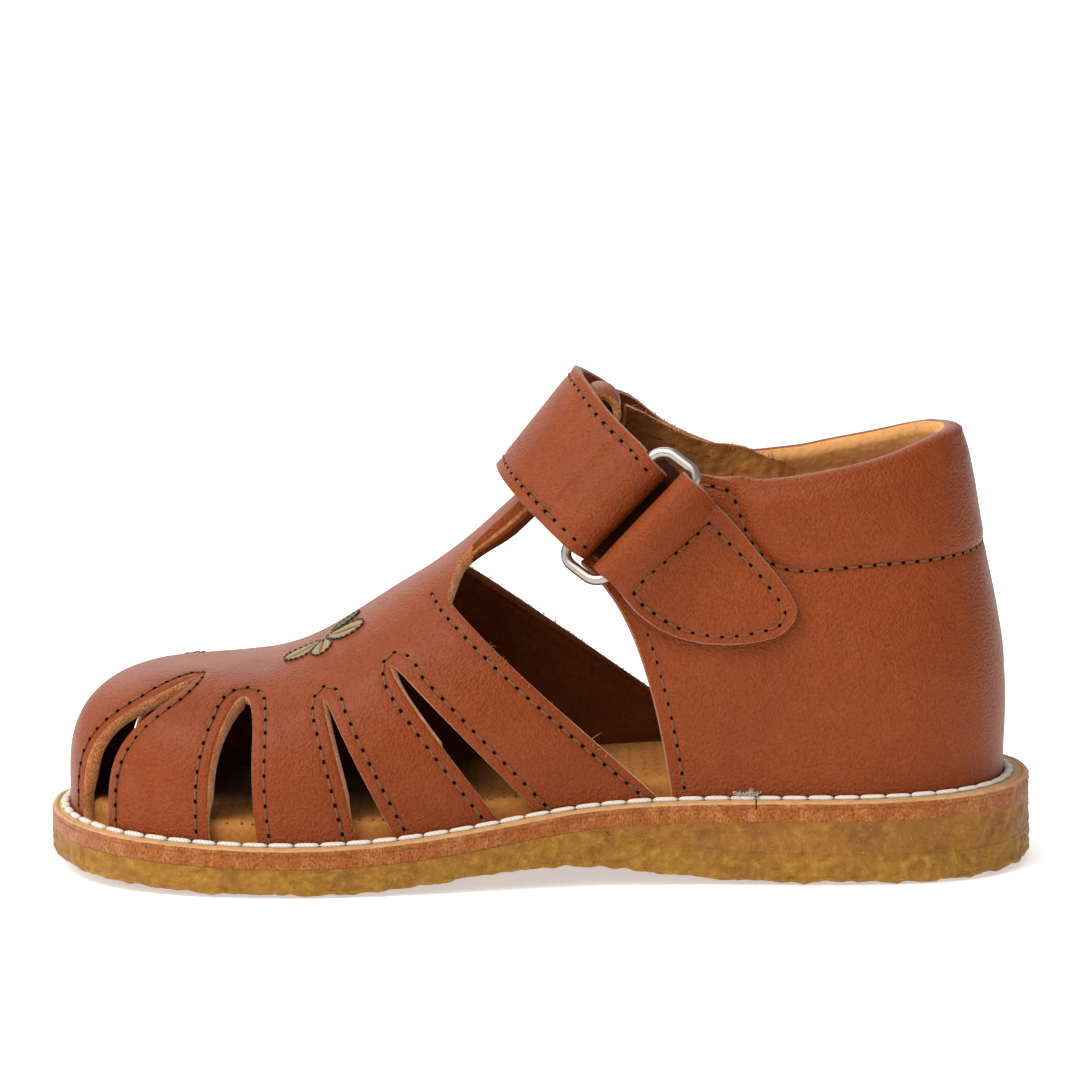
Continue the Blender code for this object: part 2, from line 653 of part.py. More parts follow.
def build_strap():
    points, across, rise, run = strap_frame()
    points = points - across * (STRAP_SAG * np.linspace(-1.4, 1.0, len(points)).clip(0.0) ** 1.5)[:, None]
    beside = np.maximum(np.maximum(-points[:, 1], points[:, 1] - 9.0), 0.0)
    crest = np.exp(-((beside / 8.0) ** 2))
    saddle = 0.6 * np.exp(-((points[:, 1] / 12.0) ** 2)) + 0.6 * np.clip(points[:, 1] / 18.0, 0.0, 1.0) ** 3
    lower = points + rise * (GAP + STRAP_THICKNESS / 2 + saddle)[:, None]
    radius = WIRE_RADIUS + GAP + STRAP_THICKNESS / 2
    bar = lower[-1] + rise[-1] * radius
    turn = np.linspace(0.0, np.pi, 11)[1:-1, None]
    loop = bar + radius * (run[-1] * np.sin(turn) - rise[-1] * np.cos(turn))
    lift = GAP + STRAP_THICKNESS / 2 + 2 * radius + 2.0 * crest
    tilted = across + tilt(np.full(len(points), 64.0)) * 0.6 * crest[:, None]
    tip = 7
    upper = (points + rise * lift[:, None])[: tip - 1 : -1]
    centres = np.vstack([lower, loop, upper])
    widths = np.vstack([across, np.repeat(across[-1:], len(loop), axis=0), tilted[: tip - 1 : -1]])
    flare = np.zeros(len(centres))
    flare[:18] = STRAP_FLARE * np.linspace(1.0, 0.0, 18) ** 3
    band("ankle_strap", centres, widths, STRAP_THICKNESS, STRAP_WIDTH / 2, (0.33, 0.085, 0.032), flare)
    gap = lift - STRAP_THICKNESS / 2 - GAP - PATCH_THICKNESS / 2
    patch = (points + rise * gap[:, None])[tip + 3 : -4]
    band("closure_patch", patch, tilted[tip + 3 : -4], PATCH_THICKNESS, PATCH_WIDTH / 2, (0.35, 0.34, 0.31))
    lean = np.radians(RING_LEAN)
    ring_run = run[-1] * np.cos(lean) - rise[-1] * np.sin(lean)
    ring_rise = rise[-1] * np.cos(lean) + run[-1] * np.sin(lean)
    return bar, across[-1], ring_run, ring_rise


def build_ring(bar, across, run, rise):
    """Rounded oblong of round wire, one long side in the strap's fold and one in the tab's."""
    long_half = RING_LENGTH / 2 - RING_CORNER
    short_half = RING_WIDTH / 2 - RING_CORNER
    turn = np.linspace(0.0, np.pi / 2, 7)
    path = []
    for quarter, (a, b) in enumerate(((1, 1), (-1, 1), (-1, -1), (1, -1))):
        angle = turn + quarter * np.pi / 2
        path += [
            across * (a * long_half + RING_CORNER * np.cos(t)) + run * (b * short_half + RING_CORNER * np.sin(t))
            for t in angle
        ]
    path = bar + run * RING_WIDTH / 2 + np.array(path)
    path = np.vstack([path, path[:1]])
    ahead = np.roll(path[:-1], -1, axis=0) - np.roll(path[:-1], 1, axis=0)
    ahead = np.vstack([ahead, ahead[:1]])
    ahead /= np.linalg.norm(ahead, axis=1, keepdims=True)
    flat = np.cross(ahead, rise)
    turn = np.linspace(0.0, 2 * np.pi, 13)
    rows = [path + WIRE_RADIUS * (rise * np.cos(t) + flat * np.sin(t)) for t in turn]
    sheet = Sheet()
    sheet.grid(np.stack(rows))
    sheet.object("strap_ring", (0.55, 0.50, 0.45), 0.35, 1.0)


def tab_surface(share_of_run, across, offset):
    """Point on the outer quarter under the tab, lifted by the offset."""
    edges = spline(column(TAB_STATIONS, 0), [row[1:] for row in TAB_STATIONS], share_of_run)
    x = edges[..., 0] + (edges[..., 2] - edges[..., 0]) * across
    z = edges[..., 1] + (edges[..., 3] - edges[..., 1]) * across
    share = share_at(LATERAL, x)
    climb = climb_to(LATERAL, share, z)
    return last(LATERAL, share, climb) + outward(LATERAL, share, climb) * np.asarray(offset)[..., None]


def build_tab(bar, across, run, rise):
    radius = WIRE_RADIUS + GAP + TAB_THICKNESS / 2
    rear = bar + run * RING_WIDTH
    columns = np.linspace(0.0, 1.0, 8)
    width = across * TAB_WIDTH
    line = rear + width * (columns[:, None] - 0.5)
    seat = np.full(columns.shape, GAP + TAB_THICKNESS / 2)
    rows = [tab_surface(np.full(columns.shape, TAB_RETURN * k), columns, seat) for k in (1.0, 0.6)]
    rows += [line + radius * (-run * np.sin(t) - rise * np.cos(t)) for t in np.linspace(0.0, np.pi + 0.75, 12)]
    for share in (0.20, 0.30, 0.42, 0.55, 0.68, 0.80, 0.90, 0.96, 1.0):
        settle = np.clip(share / TAB_SETTLE, 0.0, 1.0)
        lift = (1 - settle * settle * (3 - 2 * settle)) * (TAB_THICKNESS + 1.4)
        rows.append(tab_surface(np.full(columns.shape, share), columns, seat + lift))
    rows = np.stack(rows)
    along = np.gradient(rows, axis=0)
    sideways = np.gradient(rows, axis=1)
    normal = np.cross(sideways, along)
    normal /= np.linalg.norm(normal, axis=-1, keepdims=True)
    half = TAB_THICKNESS / 2
    faces = rows + normal * half, rows - normal * half
    sheet = Sheet()
    for face in faces:
        sheet.grid(face)
    for edge in (np.s_[:, 0], np.s_[:, -1], np.s_[0, :], np.s_[-1, :]):
        sheet.grid(np.stack([faces[0][edge], faces[1][edge]]))
    sheet.object("ring_tab", (0.29, 0.07, 0.028))


def main():
    for old in list(bpy.data.objects):
        bpy.data.objects.remove(old, do_unlink=True)
    build_sole()
    build_welt()
    build_upper()
    frame = build_strap()
    build_ring(*frame)
    build_tab(*frame)


main()
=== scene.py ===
import math
import bpy
import numpy as np
from mathutils import Matrix, Vector


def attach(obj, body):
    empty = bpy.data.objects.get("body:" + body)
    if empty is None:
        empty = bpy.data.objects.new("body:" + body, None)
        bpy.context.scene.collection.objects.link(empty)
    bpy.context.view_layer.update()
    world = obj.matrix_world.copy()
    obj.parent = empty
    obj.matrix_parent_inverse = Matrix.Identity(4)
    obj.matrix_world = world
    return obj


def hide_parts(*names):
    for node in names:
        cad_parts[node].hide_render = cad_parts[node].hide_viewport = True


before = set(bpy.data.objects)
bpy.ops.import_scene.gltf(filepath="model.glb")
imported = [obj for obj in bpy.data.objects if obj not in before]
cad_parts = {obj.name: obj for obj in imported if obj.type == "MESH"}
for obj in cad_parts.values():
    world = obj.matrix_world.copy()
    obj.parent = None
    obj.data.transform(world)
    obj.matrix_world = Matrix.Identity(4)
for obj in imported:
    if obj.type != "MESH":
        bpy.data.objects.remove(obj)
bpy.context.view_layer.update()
print("frame loaded with", len(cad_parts), "nodes")

# The last's own axes are in millimetres: toe towards -x, outer side towards -y.
mm = 0.001
lastCentre = np.array([0.5, 0.4, 0.6])  # moves the last's axes into the frame
outer, inner = -1, 1
gap = 0.3

# sole, from toe to heel: half widths, underside, top of the welt, crepe sheet, shelf outside the upper
soleTable = {
    "x": (-81.1, -76.4, -66, -54, -41, -26, -10, 5, 20, 38, 57, 70, 77.2, 80.1),
    "outer": (0, 14.6, 25.4, 30, 31.8, 31.1, 28.4, 25.6, 24.4, 25.2, 25.5, 21.4, 13.3, 0),
    "inner": (0, 20.8, 27.6, 30.6, 30.8, 28.7, 24.6, 21.6, 20.8, 23, 24.8, 20.9, 13.3, 0),
    "under": (2.2, 1.7, 0.9, 0.2, -0.3, 0.5, 2.1, 3.1, 1.5, 0, -0.3, 0.1, 0.5, 0.9),
    "weltTop": (9.4, 9, 8.3, 7.7, 7.4, 7.9, 9.7, 11.9, 12.9, 13.1, 13.3, 13.6, 13.8, 13.9),
    "crepe": (4.9, 4.8, 4.7, 4.7, 4.7, 4.7, 4.9, 5.8, 5.4, 5.1, 5, 5, 5, 5),
    "shelf": (2.9, 2.9, 3.0, 3.1, 3.2, 3.2, 3.2, 3.2, 3.2, 3.2, 3.3, 3.7, 4.0, 4.1),
}
# crown of the last: height, shift towards the big toe, fullness of the cross section
crownTable = {
    "x": (-82, -70, -62, -50, -42, -36, -30, -23, -16, -9, -4, 4, 12, 22, 38, 55, 80),
    "height": (30.6, 32.2, 32.9, 33.7, 35.0, 37.4, 40.9, 45.5, 49.9, 55.4, 60, 67, 75, 87, 101, 110, 112),
    "shift": (4, 3.8, 3.5, 3, 2.6, 2.2, 1.9, 1.5, 1.2, 1, 0.8, 0.6, 0.4, 0.2, 0, 0, 0),
    "full": (3, 3, 2.9, 2.7, 2.6, 2.5, 2.45, 2.4, 2.4, 2.4, 2.4, 2.4, 2.4, 2.3, 2.2, 1.8, 1.7),
}
lastSize = {
    "toeTipOffset": 4.0, "soleDrop": 0.6, "weltThick": 1.2, "midsoleThick": 1.5, "wedgeFront": 10.0,
    "toeHub": -45.0, "heelHub": 40.0, "hubReach": 10.0, "bulge": 1.3, "bulgeHeight": 44.0,
}


def splineOf(knots, values):
    # natural cubic: the bends solve a three-term system, each span mixes its ends plus a cubic of the bends
    knots = np.asarray(knots, float)
    values = np.asarray(values, float).reshape(len(knots), -1)
    step = np.diff(knots)
    mid = np.arange(1, len(knots) - 1)
    system = np.eye(len(knots))
    system[mid, mid - 1] = step[:-1]
    system[mid, mid] = 2 * (step[:-1] + step[1:])
    system[mid, mid + 1] = step[1:]
    right = np.zeros_like(values)
    right[1:-1] = 6 * np.diff(np.diff(values, axis=0) / step[:, None], axis=0)
    bend = np.linalg.solve(system, right)

    def at(t):
        t = np.asarray(t, float)
        i = np.clip(np.searchsorted(knots, t, "right") - 1, 0, len(knots) - 2)
        low = ((knots[i + 1] - t) / step[i])[..., None]
        high = 1 - low
        cubic = ((low**3 - low) * bend[i] + (high**3 - high) * bend[i + 1]) * (step[i] ** 2)[..., None] / 6
        found = low * values[i] + high * values[i + 1] + cubic
        return found[..., 0] if found.shape[-1] == 1 else found

    return at


soleAt = {name: splineOf(soleTable["x"], soleTable[name]) for name in soleTable if name != "x"}
crownAt = {name: splineOf(crownTable["x"], crownTable[name]) for name in crownTable if name != "x"}


def alongRun(points):
    # distance walked along a line of points
    return np.concatenate([[0.0], np.cumsum(np.linalg.norm(np.diff(points, axis=0), axis=1))])


def readAt(marks, run, values):
    # every column of the values, read at the marks along the run
    return np.column_stack([np.interp(marks, run, column) for column in values.T])


def smoothPath(points, count):
    # natural cubic through the points, read evenly along their chord
    points = np.asarray(points, float)
    run = alongRun(points)
    return splineOf(run, points)(np.linspace(0.0, run[-1], count))


def mixed(first, second, share):
    # straight from first to second as the share goes from 0 to 1
    return first * (1 - share) + second * share


def outlineCurve():
    # closed run round the sole: heel tip, outer side, toe tip, inner side, lapped at both ends
    x = np.array(soleTable["x"])[::-1]
    outerY = -np.array(soleTable["outer"], float)[::-1]
    innerY = np.array(soleTable["inner"], float)
    outerY[-1] = lastSize["toeTipOffset"]
    loop = np.vstack([np.column_stack([x, outerY]), np.column_stack([x[::-1], innerY])[1:-1]])
    lap = 5
    closed = np.vstack([loop[-lap:], loop, loop[: lap + 1]])
    run = alongRun(closed)
    ends = {outer: (run[lap + len(x) - 1], run[lap]), inner: (run[lap + len(x) - 1], run[lap + len(loop)])}
    return splineOf(run, closed), ends


edgeCurve, edgeEnds = outlineCurve()


def edgeAt(side, share):
    # sole edge: share 0 at the toe tip, 1 at the heel tip
    toe, heel = edgeEnds[side]
    return edgeCurve(toe + (heel - toe) * np.asarray(share, float))


def inset(side, share, amount, shelf=0.0):
    # sole edge moved square inwards by the amount plus a share of the welt's shelf
    share = np.asarray(share, float)
    amount = amount + shelf * soleAt["shelf"](edgeAt(side, share)[..., 0])
    run = edgeAt(side, share + 1e-4) - edgeAt(side, share - 1e-4)
    run /= np.linalg.norm(run, axis=-1, keepdims=True)
    inward = -side * np.stack([-run[..., 1], run[..., 0]], axis=-1)
    return edgeAt(side, share) + inward * np.asarray(amount)[..., None]


def feather(side, share):
    # line where the upper meets the welt
    return inset(side, share, 0.0, 1.0)


shareSteps = np.linspace(0.0, 1.0, 2001)
featherLines = {side: feather(side, shareSteps) for side in (outer, inner)}
featherX = {side: line[:, 0] for side, line in featherLines.items()}


def shareAtX(side, x):
    # share whose feather line stands at x
    return np.interp(x, featherX[side], shareSteps)


def rayEnd(x):
    # crown position that a line of the last runs up to: its own x, drawn in exponentially past the two hubs
    ahead = np.maximum(lastSize["toeHub"] - x, 0.0)
    behind = np.maximum(x - lastSize["heelHub"], 0.0)
    pull = np.exp(-ahead / lastSize["hubReach"]) - np.exp(-behind / lastSize["hubReach"])
    return np.clip(x, lastSize["toeHub"], lastSize["heelHub"]) + lastSize["hubReach"] * pull


rayEnds = {side: rayEnd(featherX[side]) for side in (outer, inner)}


def shareOfCrown(side, x):
    # share whose line runs up to the crown at x
    return np.interp(x, rayEnds[side], shareSteps)


def weltTop(x):
    # height of the welt's shelf
    return soleAt["weltTop"](x)


def baseAt(x):
    # height on which the upper stands, a welt's thickness under the shelf
    return weltTop(x) - lastSize["weltThick"]


def last(side, share, climb):
    # outer face of the upper: a superellipse from feather line (climb 0) to crown (1), bulged low down
    share, climb = np.broadcast_arrays(np.asarray(share, float), np.asarray(climb, float))
    foot = feather(side, share)
    out = foot - inset(side, share, 1.0, 1.0)
    end = rayEnd(foot[..., 0])
    full = crownAt["full"](foot[..., 0])
    angle = np.clip(climb, 0.0, 1.0) * np.pi / 2
    reach = np.maximum(np.cos(angle), 0.0) ** (2 / full)
    lift = np.sin(angle) ** (2 / full)
    x = end + (foot[..., 0] - end) * reach
    middle = crownAt["shift"](end)
    y = middle + (foot[..., 1] - middle) * reach
    height = (crownAt["height"](x) - baseAt(x)) * lift
    wave = np.sin(np.pi * np.clip(height / lastSize["bulgeHeight"], 0.0, 1.0)) ** 2
    bulge = lastSize["bulge"] * wave * reach
    return np.stack([x + out[..., 0] * bulge, y + out[..., 1] * bulge, baseAt(x) + height], axis=-1)


def climbTo(side, share, z):
    # climb at which a line of the last reaches height z, found by going back and forth eight times
    share, z = np.broadcast_arrays(np.asarray(share, float), np.asarray(z, float))
    foot = feather(side, share)[..., 0]
    full = crownAt["full"](foot)
    x = foot
    for _ in range(8):
        lift = np.clip((z - baseAt(x)) / (crownAt["height"](x) - baseAt(x)), 0.0, 1.0)
        climb = np.arcsin(lift ** (full / 2)) * 2 / np.pi
        x = last(side, share, climb)[..., 0]
    return climb


def climbBeside(side, share, distance):
    # climb at which a line of the last lies this far sideways of the crown
    foot = feather(side, share)
    full = crownAt["full"](foot[..., 0])
    half = np.abs(foot[..., 1] - crownAt["shift"](rayEnd(foot[..., 0])))
    return np.arccos(np.clip(distance / half, 0.0, 1.0) ** (full / 2)) * 2 / np.pi


def unit(vectors):
    # vectors divided by their length
    return vectors / np.maximum(np.linalg.norm(vectors, axis=-1, keepdims=True), 1e-12)


def outward(side, share, climb):
    # unit normal of the last from two short steps on it
    climb = np.clip(climb, 0.02, 0.985)
    along = last(side, share + 1e-3, climb) - last(side, share - 1e-3, climb)
    up = last(side, share, climb + 0.01) - last(side, share, climb - 0.01)
    return unit(np.cross(along, up) * -side)


def faceAt(side, x, z):
    # point, normal and climb of the last where its line from x reaches the height z
    share = shareAtX(side, x)
    climb = climbTo(side, share, z)
    return last(side, share, climb), outward(side, share, climb), climb


def crownLine(x):
    # points along the top of the last
    return np.column_stack([x, crownAt["shift"](x), crownAt["height"](x)])


def smooth(low, high, value):
    # 3 t^2 - 2 t^3, t from 0 at low to 1 at high
    t = np.clip((value - low) / (high - low), 0.0, 1.0)
    return t * t * (3 - 2 * t)


hashPrimes = np.array([73856093, 19349663, 83492791])


def lumps(points, size, seed=0):
    # value noise, 0 to 1: hashed heights at lattice corners, mixed smoothly between the eight round a point
    q = points / size + 11.7 * seed
    cell = np.floor(q).astype(np.int64)
    part = q - cell
    part = part * part * (3 - 2 * part)
    total = np.zeros(points.shape[:-1])
    for corner in np.ndindex(2, 2, 2):
        key = cell + np.array(corner)
        code = np.bitwise_xor.reduce(key * hashPrimes, axis=-1) ^ (seed * 2654435)
        code = (code ^ (code >> 13)) * 1274126177
        height = ((code ^ (code >> 16)) & 0xFFFF) / 65535.0
        total += height * np.prod(np.where(np.array(corner) == 1, part, 1 - part), axis=-1)
    return total


# meshes

def gridQuads(rows, columns, start=0, around=False):
    # quads of a grid of points, each row's last point joined to its first when it goes around
    r = np.arange(rows - 1)[:, None]
    c = np.arange(columns if around else columns - 1)[None, :]
    n = (c + 1) % columns
    a, b = r * columns + c, r * columns + n
    return start + np.stack([a, b, b + columns, a + columns], axis=-1).reshape(-1, 4)


def weld(points, quads, near=0.004):
    # points in the same small cell become one
    keys = np.round(points / near).astype(np.int64)
    _, first, back = np.unique(keys, axis=0, return_index=True, return_inverse=True)
    return points[first], back.reshape(-1)[quads]


def gather(grids):
    # several grids of points as one list of points and quads
    points, quads, start = [], [], 0
    for grid in grids:
        points.append(grid.reshape(-1, grid.shape[-1]))
        quads.append(gridQuads(grid.shape[0], grid.shape[1], start))
        start += grid.shape[0] * grid.shape[1]
    return np.vstack(points), np.vstack(quads)


def manyTubes(rows):
    # small grids of one size, each closed around: welded points, welded quads, quads before welding
    count, along, around = rows.shape[:3]
    quads = gridQuads(along, around, 0, True)
    faces = (quads[None] + np.arange(count)[:, None, None] * along * around).reshape(-1, 4)
    return *weld(rows.reshape(-1, 3), faces, 0.0005), faces


def faceNormals(points, quads):
    # from the diagonals, so as long as twice the face's area
    return np.cross(points[quads[:, 2]] - points[quads[:, 0]], points[quads[:, 3]] - points[quads[:, 1]])


def vertexNormals(points, quads):
    # face normals summed at the corners
    normal = faceNormals(points, quads)
    total = np.zeros_like(points)
    for corner in range(4):
        for axis in range(3):
            total[:, axis] += np.bincount(quads[:, corner], normal[:, axis], len(points))
    return unit(total)


def thicken(points, quads, wall, bow, rimRows=5, rolled=None, reach=None):
    # a second skin at point - normal * wall, the open edges joined by strips that bow out as a half sine
    # and lean out by the reach, which is read from the way each edge faces
    normals = vertexNormals(points, quads)
    count = len(points)
    skin = points - normals * np.reshape(wall, (-1, 1))
    ends = np.stack([quads, np.roll(quads, -1, axis=1)], axis=-1).reshape(-1, 2)
    ends = ends[ends[:, 0] != ends[:, 1]]
    code = ends[:, 0] * count + ends[:, 1]
    loose = ends[~np.isin(code, ends[:, 1] * count + ends[:, 0])]
    away = np.zeros_like(points)
    across = np.cross(points[loose[:, 1]] - points[loose[:, 0]], normals[loose[:, 0]])
    for end in (0, 1):
        np.add.at(away, loose[:, end], across)
    away = unit(away)
    rim = np.unique(loose)
    if reach is not None:
        skin[rim] += away[rim] * reach(points[rim], away[rim])[:, None]
    place = np.full(count, -1)
    place[rim] = np.arange(len(rim))
    levels = np.linspace(0.0, 1.0, rimRows + 1)[1:-1, None, None]
    bow = np.broadcast_to(np.reshape(bow, (-1, 1)), (count, 1))[rim]
    middle = mixed(points[rim], skin[rim], levels) + away[rim] * bow * np.sin(np.pi * levels) ** 0.7
    rows = [loose] + [2 * count + k * len(rim) + place[loose] for k in range(rimRows - 1)] + [count + loose]
    strips = [np.column_stack([a[:, 1], a[:, 0], b[:, 0], b[:, 1]]) for a, b in zip(rows[:-1], rows[1:])]
    allPoints = np.vstack([points, skin, middle.reshape(-1, 3)])
    faces = np.vstack([quads, quads[:, ::-1] + count] + strips)
    kinds = np.repeat([0, 1, 2], [len(quads), len(quads), len(strips) * len(loose)])
    if rolled is not None:
        over = np.tile(rolled[loose].all(axis=1), rimRows)
        half = np.repeat(np.arange(rimRows) >= 0.6 * rimRows, len(loose))
        rimKinds = kinds[2 * len(quads) :]
        rimKinds[over] = half[over]
    return allPoints, faces, kinds, len(loose)


def addPiece(name, points, faces, materials, kinds=None, sharp=None, uv=None):
    # a mesh at the origin, its millimetres turned into the frame's metres, doubled corners dropped
    same = faces == np.roll(faces, -1, axis=1)
    whole = ~same.any(axis=1)
    lists = faces[whole].tolist()
    order = [np.flatnonzero(whole)]
    for corner in range(4):
        rows = np.flatnonzero(same[:, corner] & (same.sum(axis=1) == 1))
        lists += np.delete(faces[rows], corner, axis=1).tolist()
        order.append(rows)
    order = np.concatenate(order)
    mesh = bpy.data.meshes.new(name)
    mesh.from_pydata(((points + lastCentre) * mm).tolist(), [], lists)
    for material in materials:
        mesh.materials.append(material)
    if kinds is not None:
        mesh.polygons.foreach_set("material_index", kinds[order].astype(np.int32))
    mesh.polygons.foreach_set("use_smooth", np.ones(len(lists), bool))
    if sharp:
        mesh.set_sharp_from_angle(angle=math.radians(sharp))
    if uv is not None:
        corners = np.empty(len(mesh.loops), np.int32)
        mesh.loops.foreach_get("vertex_index", corners)
        layer = mesh.uv_layers.new(name="along")
        layer.data.foreach_set("uv", uv[corners].astype(np.float32).ravel())
    mesh.update()
    piece = bpy.data.objects.new(name, mesh)
    bpy.context.scene.collection.objects.link(piece)
    return piece


def fit(piece, slotName=None, *nodes):
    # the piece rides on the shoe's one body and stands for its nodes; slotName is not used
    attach(piece, "root")
    if nodes:
        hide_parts(*nodes)
    print(piece.name, len(piece.data.polygons), "faces")


# materials

def linear(code):
    # sRGB hex to linear light
    value = np.array([int(code[i : i + 2], 16) for i in (1, 3, 5)]) / 255
    return (*np.where(value <= 0.04045, value / 12.92, ((value + 0.055) / 1.055) ** 2.4), 1.0)


def perMetre(size):
    # pattern scale for a feature of this many millimetres
    return 1 / (size * mm)


def addNode(tree, kind, sockets, **settings):
    # a (node, output) pair links, anything else is the socket's value
    made = tree.nodes.new(kind)
    for name, value in settings.items():
        setattr(made, name, value)
    for name, value in sockets.items():
        if isinstance(value, tuple) and isinstance(value[0], bpy.types.Node):
            tree.links.new(value[0].outputs[value[1]], made.inputs[name])
        else:
            made.inputs[name].default_value = value
    return made


def newMaterial(name, **sockets):
    # material with these shader values, its tree, shader and coordinates
    material = bpy.data.materials.new(name)
    material.use_nodes = True
    tree = material.node_tree
    shader = tree.nodes["Principled BSDF"]
    for key, value in sockets.items():
        shader.inputs[key.replace("_", " ")].default_value = value
    return material, tree, shader, addNode(tree, "ShaderNodeTexCoord", {})


def noise(tree, where, size, detail=3.0, roughness=0.5):
    # cloudy noise with features of this many millimetres
    sockets = {"Vector": where, "Scale": perMetre(size), "Detail": detail, "Roughness": roughness}
    return addNode(tree, "ShaderNodeTexNoise", sockets), 0


def ramp(tree, value, low, high, top=1.0, start=0.0):
    # low to high becomes start to top
    sockets = {"Value": value, "From Min": low, "From Max": high, "To Min": start, "To Max": top}
    return addNode(tree, "ShaderNodeMapRange", sockets), 0


def colourOver(tree, colour, *layers):
    # each layer's colour mixed by its share over those before it
    for share, code in layers:
        colour = addNode(tree, "ShaderNodeMix", {0: share, 6: colour, 7: linear(code)}, data_type="RGBA"), 2
    return colour


def connect(tree, shader, height, strength, distance, **links):
    # bump from the height, its distance in millimetres, and the other inputs by name
    sockets = {"Height": height, "Strength": strength, "Distance": distance * mm}
    bump = addNode(tree, "ShaderNodeBump", sockets)
    for name, (made, output) in {**links, "Normal": (bump, 0)}.items():
        tree.links.new(made.outputs[output], shader.inputs[name.replace("_", " ")])


def placeIn(tree):
    # a finished material's own object coordinates
    return next(node for node in tree.nodes if node.bl_idname == "ShaderNodeTexCoord"), "Object"


def overlay(material, share, code):
    # one more colour mixed over a finished material
    tree = material.node_tree
    socket = tree.nodes["Principled BSDF"].inputs["Base Color"]
    made, output = colourOver(tree, (socket.links[0].from_node, 2), (share, code))
    tree.links.new(made.outputs[output], socket)


def leatherMaterial(name, base, deep, pale, grain, patch, relief, roughness, coat=0.0):
    # aniline leather: patchy dye, pebbled grain whose valleys are darker, a thin wax coat
    wax = {"Coat_Weight": coat, "Coat_Roughness": 0.32, "Specular_IOR_Level": 0.13}
    material, tree, shader, coords = newMaterial(name, **wax)
    where = (coords, "Object")
    cells = {"Vector": where, "Scale": perMetre(grain)}
    pebble = addNode(tree, "ShaderNodeTexVoronoi", cells, feature="SMOOTH_F1")
    pore = noise(tree, where, grain * 0.9)
    height = addNode(tree, "ShaderNodeMath", {0: pore, 1: (pebble, 0)}, operation="SUBTRACT"), 0
    colour = colourOver(
        tree,
        linear(base),
        (ramp(tree, noise(tree, where, patch, 5.0), 0.42, 0.7, 0.3), deep),
        (ramp(tree, noise(tree, where, grain * 9), 0.45, 0.75, 0.2), pale),
        (ramp(tree, height, 0.3, -0.4, 0.6), deep),
    )
    rough = ramp(tree, pore, 0.0, 1.0, roughness + 0.12, roughness - 0.1)
    connect(tree, shader, height, relief, 0.26, Base_Color=colour, Roughness=rough)
    return material


def fibreMaterial(name, base, deep, pale, speck, relief, streak=(1, 1, 1)):
    # raw cut leather: matt fibres standing on end, speckled light and dark, stretched along streak
    matt = {"Roughness": 0.95, "Specular_IOR_Level": 0.15, "Sheen_Weight": 0.25}
    material, tree, shader, coords = newMaterial(name, **matt)
    where = addNode(tree, "ShaderNodeMapping", {"Vector": (coords, "Object"), "Scale": streak}), 0
    speckle = noise(tree, where, speck, 5.0)
    paleShare = ramp(tree, noise(tree, where, speck * 7), 0.45, 0.7, 0.8)
    colour = colourOver(tree, linear(base), (paleShare, pale), (ramp(tree, speckle, 0.4, 0.7), deep))
    connect(tree, shader, speckle, relief, 0.3, Base_Color=colour)
    return material


def crepeMaterial(name, base, deep, pale):
    # natural crepe rubber: milky amber with cloudy curds, sandy grain, small pale spots painted as glints, a
    # faint inner glow
    rubber = {"Roughness": 0.42, "Specular_IOR_Level": 0.28}
    glow = {"Subsurface_Weight": 0.25, "Subsurface_Scale": 2.0 * mm, "Subsurface_Radius": (1.0, 0.6, 0.25)}
    material, tree, shader, coords = newMaterial(name, **rubber, **glow)
    where = (coords, "Object")
    curd = noise(tree, where, 1.5, 6.0, 0.66)
    # painted glints: small pale spots standing in for the crepe's sparkle
    paintedGlint = addNode(tree, "ShaderNodeTexVoronoi", {"Vector": where, "Scale": perMetre(1.3)}), 0
    colour = colourOver(
        tree,
        linear(base),
        (ramp(tree, noise(tree, where, 6.0, 5.0), 0.42, 0.68, 0.7), deep),
        (ramp(tree, curd, 0.5, 0.7, 0.6), pale),
        (ramp(tree, curd, 0.48, 0.3, 0.7), deep),
        (ramp(tree, paintedGlint, 0.15, 0.05, 0.6), pale),
    )
    connect(tree, shader, curd, 0.9, 0.9, Base_Color=colour)
    return material


def threadMaterial(name, base, deep, roughness):
    # twisted thread: plies drawn as slanting bands along the piece's own UV
    matt = {"Roughness": roughness, "Sheen_Weight": 0.2, "Specular_IOR_Level": 0.3}
    material, tree, shader, coords = newMaterial(name, **matt)
    bands = {"Vector": (coords, "UV"), "Scale": 1.0, "Distortion": 0.6, "Detail": 2.0}
    wave = addNode(tree, "ShaderNodeTexWave", bands, bands_direction="DIAGONAL"), 1
    colour = colourOver(tree, linear(base), (ramp(tree, wave, 0.45, 0.05), deep))
    connect(tree, shader, wave, 0.5, 0.1, Base_Color=colour)
    return material


# leathers: base, deep and pale colour, grain and patch in millimetres, relief, roughness, wax coat
cognac = leatherMaterial("cognacAnilineLeather", "#84390f", "#64260a", "#985222", 0.42, 20.0, 0.9, 0.42, 0.08)
lining = leatherMaterial("tanLiningLeather", "#cc955a", "#ac7640", "#d8aa76", 0.9, 9.0, 0.35, 0.8)
flesh = leatherMaterial("brownFleshSide", "#5c2a0c", "#401c08", "#74401c", 0.6, 6.0, 0.5, 0.9)
# near-black flesh side: its darkness is painted shade for the gap under the ring
fleshPaintedShade = leatherMaterial("darkFleshSide", "#3c1807", "#2a1004", "#4c2410", 0.6, 6.0, 0.4, 0.95)
shelfTones = ("#ba9064", "#9c7044", "#ceae88")
shelfLeather = leatherMaterial("paleVegetableTannedLeather", *shelfTones, 1.1, 9.0, 0.25, 0.7)
